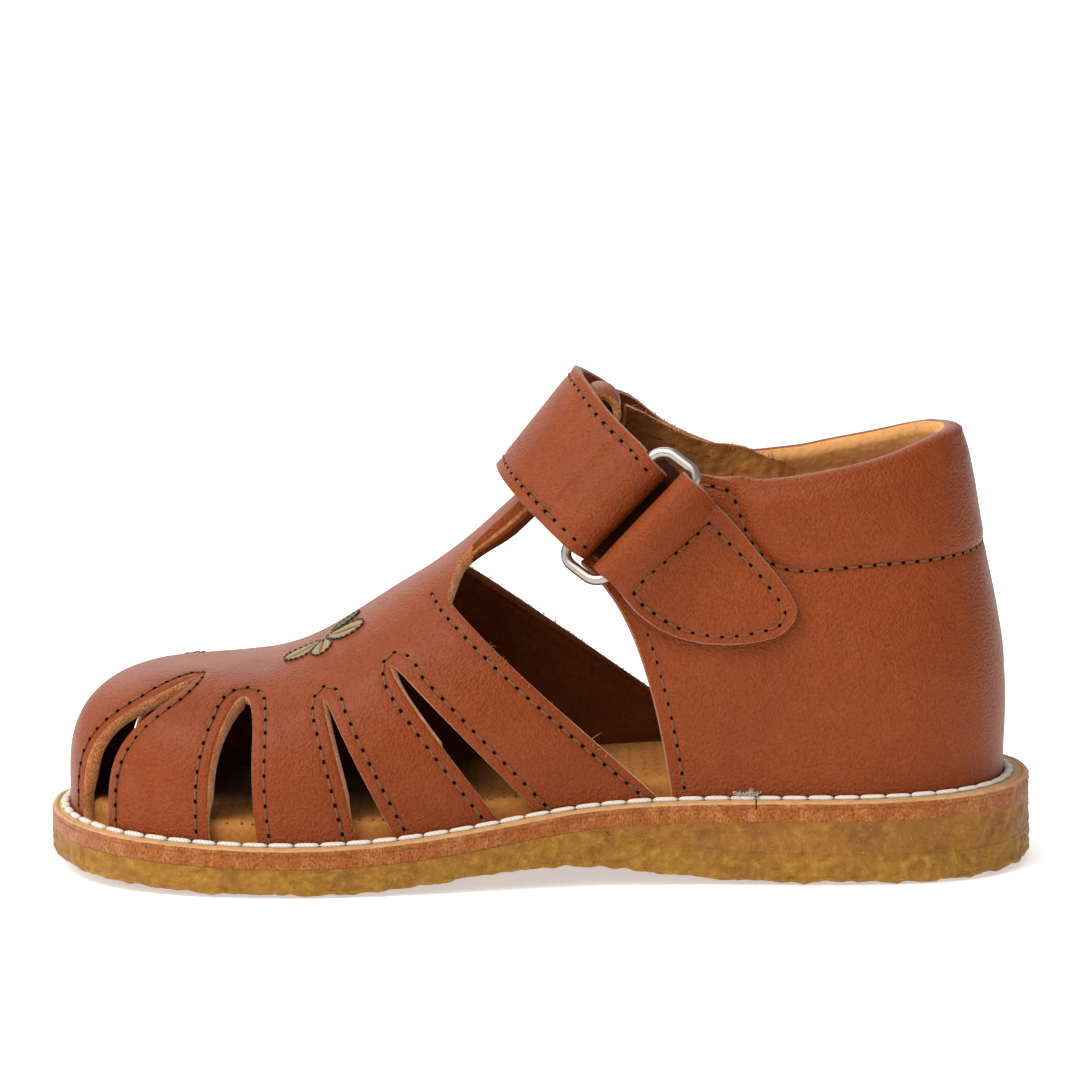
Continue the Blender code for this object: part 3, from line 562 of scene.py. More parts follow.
# cut edges: base, deep and pale colour, speck in millimetres, relief
rawEdge = fibreMaterial("rawLeatherEdge", "#b87440", "#8a4a20", "#d49a66", 0.35, 0.9)
cutEdge = fibreMaterial("dyedLeatherEdge", "#98501f", "#743410", "#ae6c40", 0.35, 0.9)
soleEdge = fibreMaterial("rawSoleLeatherEdge", "#9c5722", "#70320e", "#b87c44", 0.4, 1.0, (1.3, 1.3, 0.8))
crepe = crepeMaterial("amberCrepeRubber", "#966612", "#784a0a", "#b88c34")
darkCrepe = crepeMaterial("brownCrepeRubber", "#966118", "#744610", "#b08032")
waxedThread = threadMaterial("whiteWaxedThread", "#d2c9bd", "#c0b5a7", 0.7)
seamThread = threadMaterial("oliveTanThread", "#a8743c", "#6e441e", 0.9)
# near-black: painted shade inside the needle holes
needleHoleShade = newMaterial("needleHoleShade", Base_Color=linear("#160904"), Roughness=1.0, Specular_IOR_Level=0.0)[0]
print("materials made")


# camera at the photograph's angle: level turn 0, pitched down 8 degrees, rolled half a degree
cameraSize = {
    "distance": 0.9, "pitch": 8.0, "roll": 0.58, "aimHeight": 52.5,
    "pixel": 0.1641, "frame": 1080, "sensor": 36.0,
}


def makeCamera():
    # focal length from the millimetres that a pixel covers at the shoe
    lens = bpy.data.cameras.new("photoCamera")
    lens.sensor_width = cameraSize["sensor"]
    pixels = cameraSize["distance"] / (cameraSize["pixel"] * mm)
    lens.lens = pixels / cameraSize["frame"] * cameraSize["sensor"]
    pitch, roll = math.radians(cameraSize["pitch"]), math.radians(cameraSize["roll"])
    look = Vector((0, math.cos(pitch), -math.sin(pitch)))
    up = Vector((0, math.sin(pitch), math.cos(pitch)))
    right = Vector((1, 0, 0))
    aim = Vector((lastCentre + [0, 0, cameraSize["aimHeight"]]) * mm)
    place = aim - look * cameraSize["distance"]
    x = right * math.cos(roll) - up * math.sin(roll)
    y = right * math.sin(roll) + up * math.cos(roll)
    camera = bpy.data.objects.new("photoCamera", lens)
    camera.matrix_world = Matrix((x, y, -look)).transposed().to_4x4()
    camera.matrix_world.translation = place
    bpy.context.scene.collection.objects.link(camera)
    bpy.context.scene.camera = camera


makeCamera()

# vamp: strips between the slits, the T-bar and its folded end
vampSize = {
    "wall": 2.0, "barWall": 3.8, "margin": 6.0, "marginWall": 0.5, "toeApex": 28.5, "slantEnd": -16.0,
    "barHalf": 6.2, "barFlare": 7.3, "barFlareLength": 2.4, "barStart": -13.6, "barEnd": 8.0,
    "barEase": (-14, -6), "barNear": 9, "barDeep": 3,
    "rolledFrom": -11.0, "rolledHalf": 12.0, "rolledDrop": 9.0, "edgeRound": 0.3, "edgeRoundWidth": 0.7,
    "lowRows": 46, "topRows": 30, "stripColumns": (14, 30, 28, 28, 34), "barRows": 64, "rimRows": 6,
}
# slits: foot x, apex x, apex height, crown x above it, width, flare at the foot, bend, bow
slitNames = ("foot", "apex", "apexZ", "crown", "width", "flare", "bend", "bow")
slits = {
    outer: (
        (-73.2, -60.2, 32.3, -50.5, 8.0, 1.2, 3.3, 0.0),
        (-49.6, -48.2, 30.4, -45.0, 6.6, 1.6, 1.0, -1.1),
        (-26.2, -35.2, 30.6, -36.0, 1.4, 5.2, 1.0, 0.0),
        (-2.8, -24.4, 35.6, -27.0, 2.4, 4.0, 1.0, 0.0),
    ),
    inner: (
        (-70.6, -62.6, 32.6, -50.5, 2.5, 0.2, 3.0, 0.0),
        (-44.0, -47.5, 30.6, -45.0, 6.6, 1.6, 1.0, 0.0),
        (-17.0, -34.5, 31.4, -36.0, 1.4, 5.2, 1.0, 0.0),
        (11.0, -24.4, 37.4, -27.0, 2.4, 4.0, 1.0, 0.0),
    ),
}
# throat, where the vamp ends: foot x, corner x, corner height, crown x
throats = {outer: (20.2, -15.3, 45.4, -17.5), inner: (36.0, -14.6, 48.6, -17.5)}
lowRows = 1 - (1 - np.linspace(0.0, 1.0, vampSize["lowRows"])) ** 1.35
topRows = np.linspace(0.0, 1.0, vampSize["topRows"])
edgeLength = {side: alongRun(line)[-1] for side, line in featherLines.items()}
barX = np.linspace(vampSize["barStart"], vampSize["barEnd"], vampSize["barRows"])  # along the T-bar


def edgeLine(side, foot, apex, apexZ, bend, t):
    # share eases from foot to apex by t to the bend, height rises evenly
    share = foot + (apex - foot) * t**bend
    footZ = baseAt(feather(side, share[:1])[:, 0])[0]
    climb = climbTo(side, share, footZ + (apexZ - footZ) * t)
    return share, np.where(t == 0, 0.0, climb)


def slitLine(side, row, t):
    # middle line of a slit and half its width: width * (1 - t^5)^0.5 plus a flare towards the foot
    s = dict(zip(slitNames, row))
    foot, apex = shareAtX(side, s["foot"]), shareAtX(side, s["apex"])
    share, climb = edgeLine(side, foot, apex, s["apexZ"], s["bend"], t)
    share = share + s["bow"] / edgeLength[side] * np.sin(np.pi * t)
    half = (s["width"] * (1 - t**5) ** 0.5 + s["flare"] * (1 - t) ** 1.6) / 2 / edgeLength[side]
    return share, climb, half


def throatLine(side, t):
    # edge of the throat from its foot to its corner
    foot, corner, cornerZ, _ = throats[side]
    return edgeLine(side, shareAtX(side, foot), shareAtX(side, corner), cornerZ, 1.0, t)


def stripEdges(side):
    # left and right edge of each strip from toe to throat, with the crown x that it runs up to
    toe = edgeLine(side, 0.0, 0.0, vampSize["toeApex"], 1.0, lowRows)
    edges = [[(*toe, rayEnds[side][0])]]
    for row in slits[side]:
        share, climb, half = slitLine(side, row, lowRows)
        edges[-1].append((share - half, climb, row[3]))
        edges.append([(share + half, climb, row[3])])
    edges[-1].append((*throatLine(side, lowRows), throats[side][3]))
    return edges


def vampGrids(side):
    # strips from the feather line to the crown, then the T-bar from the throat to its end
    grids, feet = [], []
    for (left, right), columns in zip(stripEdges(side), vampSize["stripColumns"]):
        across = np.linspace(0.0, 1.0, columns)
        share, climb = (mixed(left[k][:, None], right[k][:, None], across) for k in (0, 1))
        ridge = left[2] + (right[2] - left[2]) * across
        up = topRows[1:, None]
        share = np.vstack([share, share[-1] + (shareOfCrown(side, ridge) - share[-1]) * up])
        climb = np.vstack([climb, climb[-1] + (1 - climb[-1]) * up])
        strip = last(side, share, climb)
        strip[-1] = crownLine(ridge)
        if not feet:
            strip[:-1, 0] = last(outer, 0.0, climb[:-1, 0])
        grids.append(strip)
        feet.append(share[0])
    share, climb, throat = (part[len(lowRows) - 1 :, -1] for part in (share, climb, strip))
    flare = vampSize["barFlare"] * np.exp(-(barX - throats[side][1]) / vampSize["barFlareLength"])
    barShare = np.broadcast_to(shareAtX(side, barX[:, None]), (len(barX), len(topRows)))
    barClimb = climbBeside(side, barShare, (vampSize["barHalf"] + flare)[:, None] * (1 - topRows))
    lead = np.linspace(0.0, 1.0, 7)[1:-1, None]
    ahead = last(side, mixed(share, barShare[0], lead), mixed(climb, barClimb[0], lead))
    ahead[:, -1] = crownLine(throat[-1, 0] + (barX[0] - throat[-1, 0]) * lead[:, 0])
    bar = last(side, barShare, barClimb)
    bar[:, -1] = crownLine(barX)
    grids.append(np.concatenate([throat[None], ahead, bar])[:, ::-1])
    return grids, np.concatenate(feet)


def marginGrid(side, feet):
    # lasting margin: from the feather line inwards on the base
    foot, plan = last(side, feet, 0.0), inset(side, feet, vampSize["margin"], 1.0)
    for end, tip in ((0, 0.0), (-1, 1.0)):
        if feet[end] == tip:  # both sides share the lines at the toe's and the heel's tip
            foot[end], plan[end] = last(outer, tip, 0.0), inset(outer, tip, vampSize["margin"], 1.0)
    return np.stack([np.column_stack([plan, baseAt(plan[:, 0])]), foot])


def facingOut(grid, side):
    # rows climb and columns run to the heel, so the outer side's order is turned to face away from the foot
    return grid if side == outer else grid[:, ::-1]


# seams: rows of holes with a thread from each to the next
seamSize = {
    "pitch": 2.4, "inset": 2.0, "thread": 0.16, "sink": -0.42, "arch": 0.38,
    "groove": 0.2, "grooveWidth": 0.75,
    "holeLong": 0.462, "holeShort": 0.3108, "curlIn": 1.2, "curlTurn": 1.3, "curlUp": 3.2,
}
seamRows = []


def marksAlong(run, pitch):
    # places a pitch apart, the pitch eased so that the last one is the run's end
    return np.linspace(0.0, run[-1], max(2, int(round(run[-1] / pitch)) + 1))


def evenly(points, pitch):
    # the same path with points about a pitch apart
    run = alongRun(points)
    return readAt(marksAlong(run, pitch), run, points)


def addRow(path, values, normalOf=unit):
    # holes a pitch apart along a path, their normals from the values read at the same places
    run = alongRun(path)
    marks = marksAlong(run, seamSize["pitch"])
    seamRows.append((readAt(marks, run, path), normalOf(readAt(marks, run, values))))
    return seamRows[-1]


def lastRow(side, share, climb):
    # row of holes on the last
    return addRow(last(side, share, climb), np.column_stack([share, climb]), lambda at: outward(side, *at.T))


def stretch(side, share, climb):
    # millimetres per unit of share and of climb on the last
    step = 1e-3
    alongStep = last(side, share + step, climb) - last(side, share - step, climb)
    upStep = last(side, share, climb + step) - last(side, share, climb - step)
    return np.linalg.norm(alongStep, axis=-1) / (2 * step), np.linalg.norm(upStep, axis=-1) / (2 * step)


def slitSeam(side, row):
    # up one side of the slit, a half ellipse over its apex, down the other side
    top = 0.9
    t = np.append(np.linspace(0.02, top, 54), 1.0)
    share, climb, half = slitLine(side, row, t)
    wide, tall = stretch(side, share, np.clip(climb, 0.02, 0.95))
    away = half + seamSize["inset"] / wide
    turn = np.linspace(0.0, np.pi, 25)[1:-1]
    centre = share[-2] + (share[-1] - share[-2]) * np.sin(turn)
    archShare = centre - away[-2] * np.cos(turn)
    rise = climb[-1] + seamSize["inset"] * 1.05 / tall[-1] - climb[-2]
    archClimb = climb[-2] + rise * np.sin(turn) ** 0.9
    lastRow(
        side,
        np.concatenate([(share - away)[:-1], archShare, (share + away)[-2::-1]]),
        np.concatenate([climb[:-1], archClimb, climb[-2::-1]]),
    )


def throatSeam(side):
    # beside the throat edge, curling up round its top corner
    t = np.linspace(0.03, 1.0, 60)
    share, climb = throatLine(side, t)
    wide, tall = stretch(side, share, np.clip(climb, 0.02, 0.95))
    share = share - seamSize["inset"] / wide
    curl = np.linspace(0.1, 1.0, 8)
    curlShare = share[-1] - seamSize["curlIn"] / wide[-1] * (1 - np.cos(curl * seamSize["curlTurn"]))
    curlClimb = climb[-1] + seamSize["curlUp"] / tall[-1] * curl
    lastRow(side, np.concatenate([share, curlShare]), np.concatenate([climb, curlClimb]))


for side in (outer, inner):
    for row in slits[side]:
        slitSeam(side, row)
    throatSeam(side)


def grooves(points, normals, rows, depth, width):
    # troughs along the seams: each point sinks by depth * exp(-(distance / width)^2) to the nearest row
    line = np.vstack([np.vstack([evenly(holes, 0.6), holes]) for holes, _ in rows])
    nearest = np.full(len(points), 1e9)
    for start in range(0, len(points), 3000):
        away = points[start : start + 3000, None, :] - line[None, :, :]
        nearest[start : start + 3000] = np.sqrt((away**2).sum(axis=-1).min(axis=1))
    return points - normals * (depth * np.exp(-((nearest / width) ** 2)))[:, None]


def slitEdges():
    # every cut edge of the strips as a line of points, for rounding
    lines = []
    for side in (outer, inner):
        for index, strip in enumerate(stripEdges(side)):
            for share, climb, _ in strip if index else strip[1:]:
                lines.append((last(side, share, climb), None))
    return lines


def edgeReach(points, away):
    # edges that face the heel are cut on a slant and show more of their fibres
    x, _, z = points.T
    return smooth(0.1, 0.6, away[:, 0]) * smooth(4.0, 9.0, z - baseAt(x)) * (x < vampSize["slantEnd"])


def makeVamp():
    # strips and T-bar welded, seams and cut edges sunk, then given their walls
    grids = []
    for side in (outer, inner):
        strips, feet = vampGrids(side)
        grids += [facingOut(grid, side) for grid in strips + [marginGrid(side, feet)]]
    points, quads = weld(*gather(grids))
    x, y, z = points.T
    overCrown = z - crownAt["height"](x)
    onBar = smooth(*vampSize["barEase"], x) * smooth(vampSize["barEnd"] + 2, vampSize["barEnd"] - 2, x)
    onBar *= (np.abs(y) < vampSize["barNear"]) & (np.abs(overCrown) < vampSize["barDeep"])
    wall = vampSize["wall"] + (vampSize["barWall"] - vampSize["wall"]) * onBar
    wall = np.where(z < baseAt(x) + 0.02, vampSize["marginWall"], wall)
    normals = vertexNormals(points, quads)
    points = grooves(points, normals, seamRows, seamSize["groove"], seamSize["grooveWidth"])
    points = grooves(points, normals, slitEdges(), vampSize["edgeRound"], vampSize["edgeRoundWidth"])
    soft = (lumps(points, 9.0, 3) - 0.5) * 0.3 + (lumps(points, 4.0, 4) - 0.5) * 0.1 - 0.1
    points = points + normals * (soft * smooth(0.5, 6.0, z - baseAt(x)))[:, None]
    rimRows = vampSize["rimRows"]
    bow = 0.25 + 0.35 * onBar
    made, faces, kinds, openCount = thicken(points, quads, wall, bow, rimRows, None, edgeReach)
    atX, atY, atZ = made[faces].mean(axis=1).T
    onBarFace = (atX > vampSize["rolledFrom"]) & (atX < vampSize["barEnd"])
    onBarFace &= np.abs(atY) < vampSize["rolledHalf"]
    onBarFace &= atZ > crownAt["height"](atX) - vampSize["rolledDrop"]
    flats = len(faces) - rimRows * openCount
    level = np.concatenate([np.full(flats, -1), np.repeat(np.arange(rimRows), openCount)])
    kinds[onBarFace & (level >= 0)] = 0
    kinds[onBarFace & (level == 2)] = 2
    kinds[onBarFace & (level >= 4)] = 1
    kinds[(kinds == 2) & (atY > 6) & (atX > -20)] = 1  # the far throat's cut edge takes the dark flesh colour
    kinds[(kinds > 0) & (atZ < baseAt(atX) + 2.4)] = 3  # lasting margin inside the slits' feet
    piece = addPiece("vampLeather", made, faces, [cognac, flesh, rawEdge, lining], kinds, sharp=48)
    fit(piece, "cognac_leather", "upper")


# rolled end of the T-bar, seen from the side: over the lower length of strap and down behind it
barRoll = {
    "x": (6.0, 7.0, 8.5, 10.3, 12.1, 13.2, 13.1, 11.9, 10.3, 8.8, 8.2, 9.0, 10.4),
    "z": (73.4, 76.2, 78.0, 78.6, 77.9, 76.1, 74.2, 72.8, 72.3, 72.6, 74.0, 75.4, 75.4),
    "half": 6.2, "thick": 1.3, "fall": 1.4,
}


def makeBarRoll():
    # one curled line swept across the T-bar, its sides falling as a power of 2.4
    flat = smoothPath(np.column_stack([barRoll["x"], barRoll["z"]]), 60)
    across = np.linspace(1.0, -1.0, 31)
    grid = np.empty((len(flat), len(across), 3))
    grid[..., 0] = flat[:, :1]
    grid[..., 1] = barRoll["half"] * across + 0.5
    grid[..., 2] = flat[:, 1:] - barRoll["fall"] * np.abs(across) ** 2.4
    points, quads = gather([grid])
    points = points + vertexNormals(points, quads) * ((lumps(points, 2.5, 41) - 0.5) * 0.35)[:, None]
    made, faces, kinds, _ = thicken(points, quads, barRoll["thick"], 0.2)
    piece = addPiece("barRollLeather", made, faces, [cognac, flesh, rawEdge], kinds, sharp=48)
    fit(piece, "cognac_leather", "upper")


makeVamp()
makeBarRoll()

# quarters: walls from the throat to the heel with the padded collar
quarterSize = {
    "wall": 2.0, "collarWall": 4.4, "pad": 1.0, "padEase": 1.6, "seamHeight": 51.0, "seamRow": 0.72,
    "columns": 124, "lowRows": 64, "topRows": 44, "rimRows": 8, "frontColumns": 24,
    "padLow": (46, 50), "padFront": (29, 33), "padHeel": (62, 74), "rollFront": (28, 33),
}
quarterRows = np.linspace(0.0, quarterSize["seamRow"], quarterSize["lowRows"])
collarRows = np.linspace(quarterSize["seamRow"], 1.0, quarterSize["topRows"])
quarterRows = np.concatenate([quarterRows, collarRows[1:]])
# front edge: foot x, corner x, corner height, bow
quarterFronts = {outer: (21.2, 6.6, 51.0, 1.4), inner: (38.0, 12.0, 50.0, 2.0)}
# top edge from the front corner to the heel
collarTable = {
    "x": (14, 24, 29, 35, 43, 54, 65, 72, 77.3),
    outer: (58.6, 65.6, 64.6, 63.5, 64.2, 66.1, 68.5, 70.0, 70.6),
    inner: (58, 65.6, 65.4, 64.6, 65.1, 67.0, 68.9, 70.0, 70.6),
}
# seam under the collar's padding, seen from the side
collarSeam = {
    "x": (25.5, 28.6, 30.4, 31.6, 32.8, 34.6, 37, 39.2, 43.8, 53.6, 62.4, 72, 77.4),
    "z": (63.6, 63.3, 62.6, 60.6, 57, 53.7, 51.3, 50.3, 50, 50.7, 51.1, 51.9, 52.3),
}


seamPath = smoothPath(np.column_stack([collarSeam["x"], collarSeam["z"]]), 300)


def quarterGrid(side):
    # columns run from the front edge to the heel, rows climb to the collar's seam and on to the top edge
    foot, corner, cornerZ, bow = quarterFronts[side]
    first, turn = shareAtX(side, foot), quarterSize["seamRow"]
    u = np.linspace(0.0, 1.0, quarterSize["columns"])
    feet = first + (1 - first) * u
    stations = shareAtX(side, (corner, *collarTable["x"]))
    stations[-1] = 1.0
    columns = quarterSize["frontColumns"]
    tops = np.interp(u * columns, (0, 1, 2, 3, columns), (*stations[:4], 1.0))
    fine = np.linspace(stations[0], 1.0, 600)
    height = np.pad(np.interp(fine, stations, (cornerZ, *collarTable[side])), 12, mode="edge")
    height = np.convolve(height, np.ones(25) / 25, "valid")
    topClimb = climbTo(side, tops, np.interp(tops, fine, height))
    seamClimb = climbTo(side, feet + (tops - feet) * turn, quarterSize["seamHeight"])
    ahead = np.clip((np.interp(tops, shareSteps, featherX[side]) - 28) / 6, 0.0, 1.0)
    seamClimb = mixed(topClimb * turn, seamClimb, ahead)
    row = quarterRows[:, None]
    lean = (first - shareAtX(side, foot - bow)) * np.sin(np.pi * row)
    share = np.clip(feet + (tops - feet) * row + lean * (1 - u) ** 3, 0.0, 1.0)
    above = seamClimb + (topClimb - seamClimb) * (row - turn) / (1 - turn)
    climb = np.where(row <= turn, seamClimb * row / turn, above)
    points = last(side, share, climb)
    points[:, -1] = last(outer, share[:, -1], climb[:, -1])
    return points, feet


def intoCollar(points):
    # signed distance to the collar's seam seen from the side, positive in the padding
    flat = points[:, (0, 2)]
    found = np.empty(len(flat))
    step = np.gradient(seamPath, axis=0)
    for start in range(0, len(flat), 4000):
        away = flat[start : start + 4000, None, :] - seamPath[None]
        far = (away**2).sum(axis=-1)
        best = far.argmin(axis=1)
        pick = away[np.arange(len(best)), best]
        turn = step[best, 0] * pick[:, 1] - step[best, 1] * pick[:, 0]
        found[start : start + 4000] = np.sqrt(far.min(axis=1)) * np.sign(turn)
    return found


def onLast(side, flat):
    # share and climb of points drawn from the side: x is read against share at each point's own height
    shares = np.linspace(0.35, 1.0, 400)
    x = last(side, shares, climbTo(side, shares, flat[:, 1:]))[..., 0]
    share = np.array([np.interp(at, row, shares) for at, row in zip(flat[:, 0], x)])
    return share, climbTo(side, share, flat[:, 1])


def collarRow(side):
    # the collar's seam, then straight on round the heel
    flat = seamPath[seamPath[:, 0] < 70][::4]
    share, climb = onLast(side, flat)
    rest = np.linspace(share[-1], 1.0, 24)[1:]
    restClimb = climbTo(side, rest, np.linspace(flat[-1, 1], collarSeam["z"][-1], 24)[1:])
    return lastRow(side, np.concatenate([share, rest]), np.concatenate([climb, restClimb]))


def dropOn(points, normals, side, flat):
    # rows drawn from the side: depth and normal from the six nearest points, weighted by 1 / distance^2
    facing = np.flatnonzero(normals[:, 1] * side > 0.05)
    away = ((flat[:, None, :] - points[facing][None, :, (0, 2)]) ** 2).sum(axis=-1)
    best = np.argpartition(away, 6, axis=1)[:, :6]
    weight = 1 / (np.take_along_axis(away, best, axis=1) + 1e-4)
    weight /= weight.sum(axis=1, keepdims=True)
    y = (points[facing][best][..., 1] * weight).sum(axis=1)
    normal = unit((normals[facing][best] * weight[..., None]).sum(axis=1))
    return np.column_stack([flat[:, 0], y, flat[:, 1]]), normal


def flatRow(points, normals, side, flat):
    # row of holes drawn from the side
    return addRow(*dropOn(points, normals, side, flat))


def makeQuarters():
    # each point carries its row as a fourth column until the grids are welded
    grids = []
    for side in (outer, inner):
        grid, feet = quarterGrid(side)
        level = np.broadcast_to(quarterRows[:, None, None], (*grid.shape[:2], 1))
        margin = np.pad(marginGrid(side, feet), ((0, 0), (0, 0), (0, 1)))
        grids += [facingOut(part, side) for part in (np.concatenate([grid, level], axis=-1), margin)]
    points, quads = weld(*gather(grids))
    points, level = points[:, :3].copy(), points[:, 3]
    x, z = points[:, 0], points[:, 2]
    normals = vertexNormals(points, quads)
    depth = intoCollar(points)
    high = smooth(*quarterSize["padLow"], z)
    padded = (1 - np.exp(-np.maximum(depth, 0) / quarterSize["padEase"])) * high
    padded *= smooth(*quarterSize["padFront"], x) * (1 - 0.75 * smooth(*quarterSize["padHeel"], x))
    pad = quarterSize["pad"] * padded * (1 - 0.8 * smooth(0.93, 1.0, level))
    points = points + normals * pad[:, None]
    rows = []
    for side in (outer, inner):
        rows.append(collarRow(side))
        edge = quarterGrid(side)[0][3:-2, 0][:, (0, 2)]
        step = unit(np.gradient(edge, axis=0))
        flat = edge + np.column_stack([step[:, 1], -step[:, 0]]) * seamSize["inset"]
        rows.append(flatRow(points, normals, side, flat))
    points = grooves(points, normals, rows, seamSize["groove"] * 1.3, seamSize["grooveWidth"])
    soft = (lumps(points, 10.0, 5) - 0.5) * 0.4 + (lumps(points, 4.5, 6) - 0.5) * 0.12
    points = points + normals * (soft * smooth(0.5, 6.0, z - baseAt(x)))[:, None]
    thicker = quarterSize["collarWall"] - quarterSize["wall"]
    wall = quarterSize["wall"] + thicker * smooth(0, 4, depth) * high
    rolled = (level > 0.999) * smooth(*quarterSize["rollFront"], x)
    made, faces, kinds, _ = thicken(points, quads, wall, 0.25 + rolled, quarterSize["rimRows"], rolled > 0.5)
    piece = addPiece("quarterLeather", made, faces, [cognac, lining, cutEdge], kinds, sharp=52)
    fit(piece, "cognac_leather", "upper")


makeQuarters()

# ankle strap: from the far quarter over the instep, round the ring and back on itself
strapSize = {
    "width": 18.8, "thick": 1.8, "flare": 3.5, "sag": 1.0, "crestX": 4.0, "near": 60, "far": 73, "tip": 28,
    "nearSlope": 36.0, "farSlope": 30.0, "farReach": 26.5, "sewnLean": 52.0, "crestLean": 43.0,
    "ringEndLean": 45.0, "upperLean": 64.0, "loopSteps": 33, "tipLength": 12.0,
    "crestWide": 1.8, "ringWide": 1.2, "ringEase": (-6.0, 0.0), "crestEase": (6.0, 20.0),
    "hug": (12.0, 24.0), "crestFlat": 9.0, "crestFall": 8.0, "foldSkip": 5, "patchSkip": (12, 16),
    "farWide": 1.7, "farWidest": 37, "farSpread": 11, "sewnOff": 2.1, "sewnRun": 30.0, "sewnFull": 8.0,
    "columns": 30, "edgeRows": 4, "fleshRows": 120, "fibreRows": (2, 84), "seamIn": 1.7, "crease": 0.4,
    "patchWidth": 13.0, "patchThick": 1.1, "patchOut": 4.0, "patchColumns": 14, "patchEdgeRows": 3,
    "ringX": 12.9, "ringLength": 24.4, "ringWidth": 8.4, "ringCorner": 2.7, "ringUp": 0.6, "ringTurn": 0.09,
    "ringLean": 1.0, "wire": 1.05, "wireDrawn": 0.88,
}
# creases: distance from the ring, width, share of depth
strapCreases = ((3.6, 1.5, 1.0), (7.4, 2.0, 0.7), (11.2, 2.2, 0.5))


def strapTrace(side, slope, reach, count):
    # falls from the crest by the slope's tangent, steps growing as a square
    x = strapSize["crestX"] + reach * np.linspace(0.0, 1.0, count) ** 2
    z = crownAt["height"](strapSize["crestX"]) - (x - strapSize["crestX"]) * math.tan(math.radians(slope))
    return faceAt(side, x, z)[0]


def leaning(degrees):
    # unit directions this far above the level, seen from the side
    angle = np.radians(np.asarray(degrees, float))
    return np.stack([np.cos(angle), np.zeros_like(angle), np.sin(angle)], axis=-1)


def strapLines():
    # centre line, width directions and flare of the lower length, loop and upper length
    # then where the upper length starts, the patch's lines and the ring's frame
    s = strapSize
    near = strapTrace(outer, s["nearSlope"], s["ringX"] - s["crestX"], s["near"])
    far = strapTrace(inner, s["farSlope"], s["farReach"], s["far"])
    points = np.vstack([far[:0:-1], near])
    farLean = np.linspace(s["sewnLean"], s["crestLean"], len(far) - 1)
    slope = np.concatenate([farLean, np.linspace(s["crestLean"], s["ringEndLean"], len(near))])
    run = unit(np.gradient(points, axis=0))
    across = leaning(slope)
    hug = smooth(*s["hug"], points[:, 1])[:, None]  # the sewn end lies along the inner quarter
    normal = faceAt(inner, points[:, 0], points[:, 2])[1]
    across = unit(across - normal * hug * np.sum(across * normal, axis=1, keepdims=True))
    rise = unit(np.cross(across, run))
    rise = rise * np.sign(rise[len(far) - 1, 2])
    points = points - across * (s["sag"] * np.linspace(-1.4, 1.0, len(points)).clip(0.0) ** 1.5)[:, None]
    y = points[:, 1]
    crest = np.exp(-((np.maximum(np.maximum(-y, y - s["crestFlat"]), 0) / s["crestFall"]) ** 2))
    saddle = 0.6 * np.exp(-((y / 12) ** 2)) + 0.9 * np.clip(y / 22, 0.0, 1.0) ** 3
    saddle = saddle + 4.6 * np.exp(-(((y - 9) / 7) ** 2))
    lower = points + rise * (gap + s["thick"] / 2 + saddle)[:, None]
    radius = s["wire"] + gap + s["thick"] / 2
    bar = lower[-1] + rise[-1] * radius
    turn = np.linspace(0.0, np.pi, s["loopSteps"])[1:-1, None]
    back = 0.35 * (1 - np.cos(turn))  # the fold eases into the upper length
    loop = bar + radius * (run[-1] * np.sin(turn) * 1.25 - rise[-1] * np.cos(turn)) - run[-1] * back
    lift = gap + s["thick"] / 2 + 2 * radius + 0.8 * crest
    tilted = across + leaning(np.full(len(points), s["upperLean"])) * 0.6 * crest[:, None]
    folded = slice(-s["foldSkip"], s["tip"] - 1, -1)
    upper = (points + rise * lift[:, None])[folded]
    centres = np.vstack([lower, loop, upper])
    widths = np.vstack([across, np.repeat(across[-1:], len(loop), axis=0), tilted[folded]])
    flare = np.zeros(len(centres))
    flare[: len(far) - 1] = s["flare"] * np.linspace(1.0, 0.0, len(far) - 1) ** 3
    along = (np.arange(len(far)) - s["farWidest"]) / s["farSpread"]
    flare[: len(far)] += s["farWide"] * np.exp(-(along**2))
    under = lift - s["thick"] / 2 - gap - s["patchThick"] / 2
    patched = slice(s["tip"] + s["patchSkip"][0], -s["patchSkip"][1])
    patch = (points + rise * under[:, None])[patched], tilted[patched]
    lean = math.radians(s["ringLean"])
    ringRun = run[-1] * math.cos(lean) - rise[-1] * math.sin(lean)
    ringRise = rise[-1] * math.cos(lean) + run[-1] * math.sin(lean)
    return centres, widths, flare, len(lower) + len(loop), patch, (bar, across[-1], ringRun, ringRise)


def sweptFrame(centres, widths):
    # width directions made square to the run, and their normals
    run = unit(np.gradient(centres, axis=0))
    across = unit(widths - run * np.sum(widths * run, axis=1, keepdims=True))
    return across, np.cross(across, run)


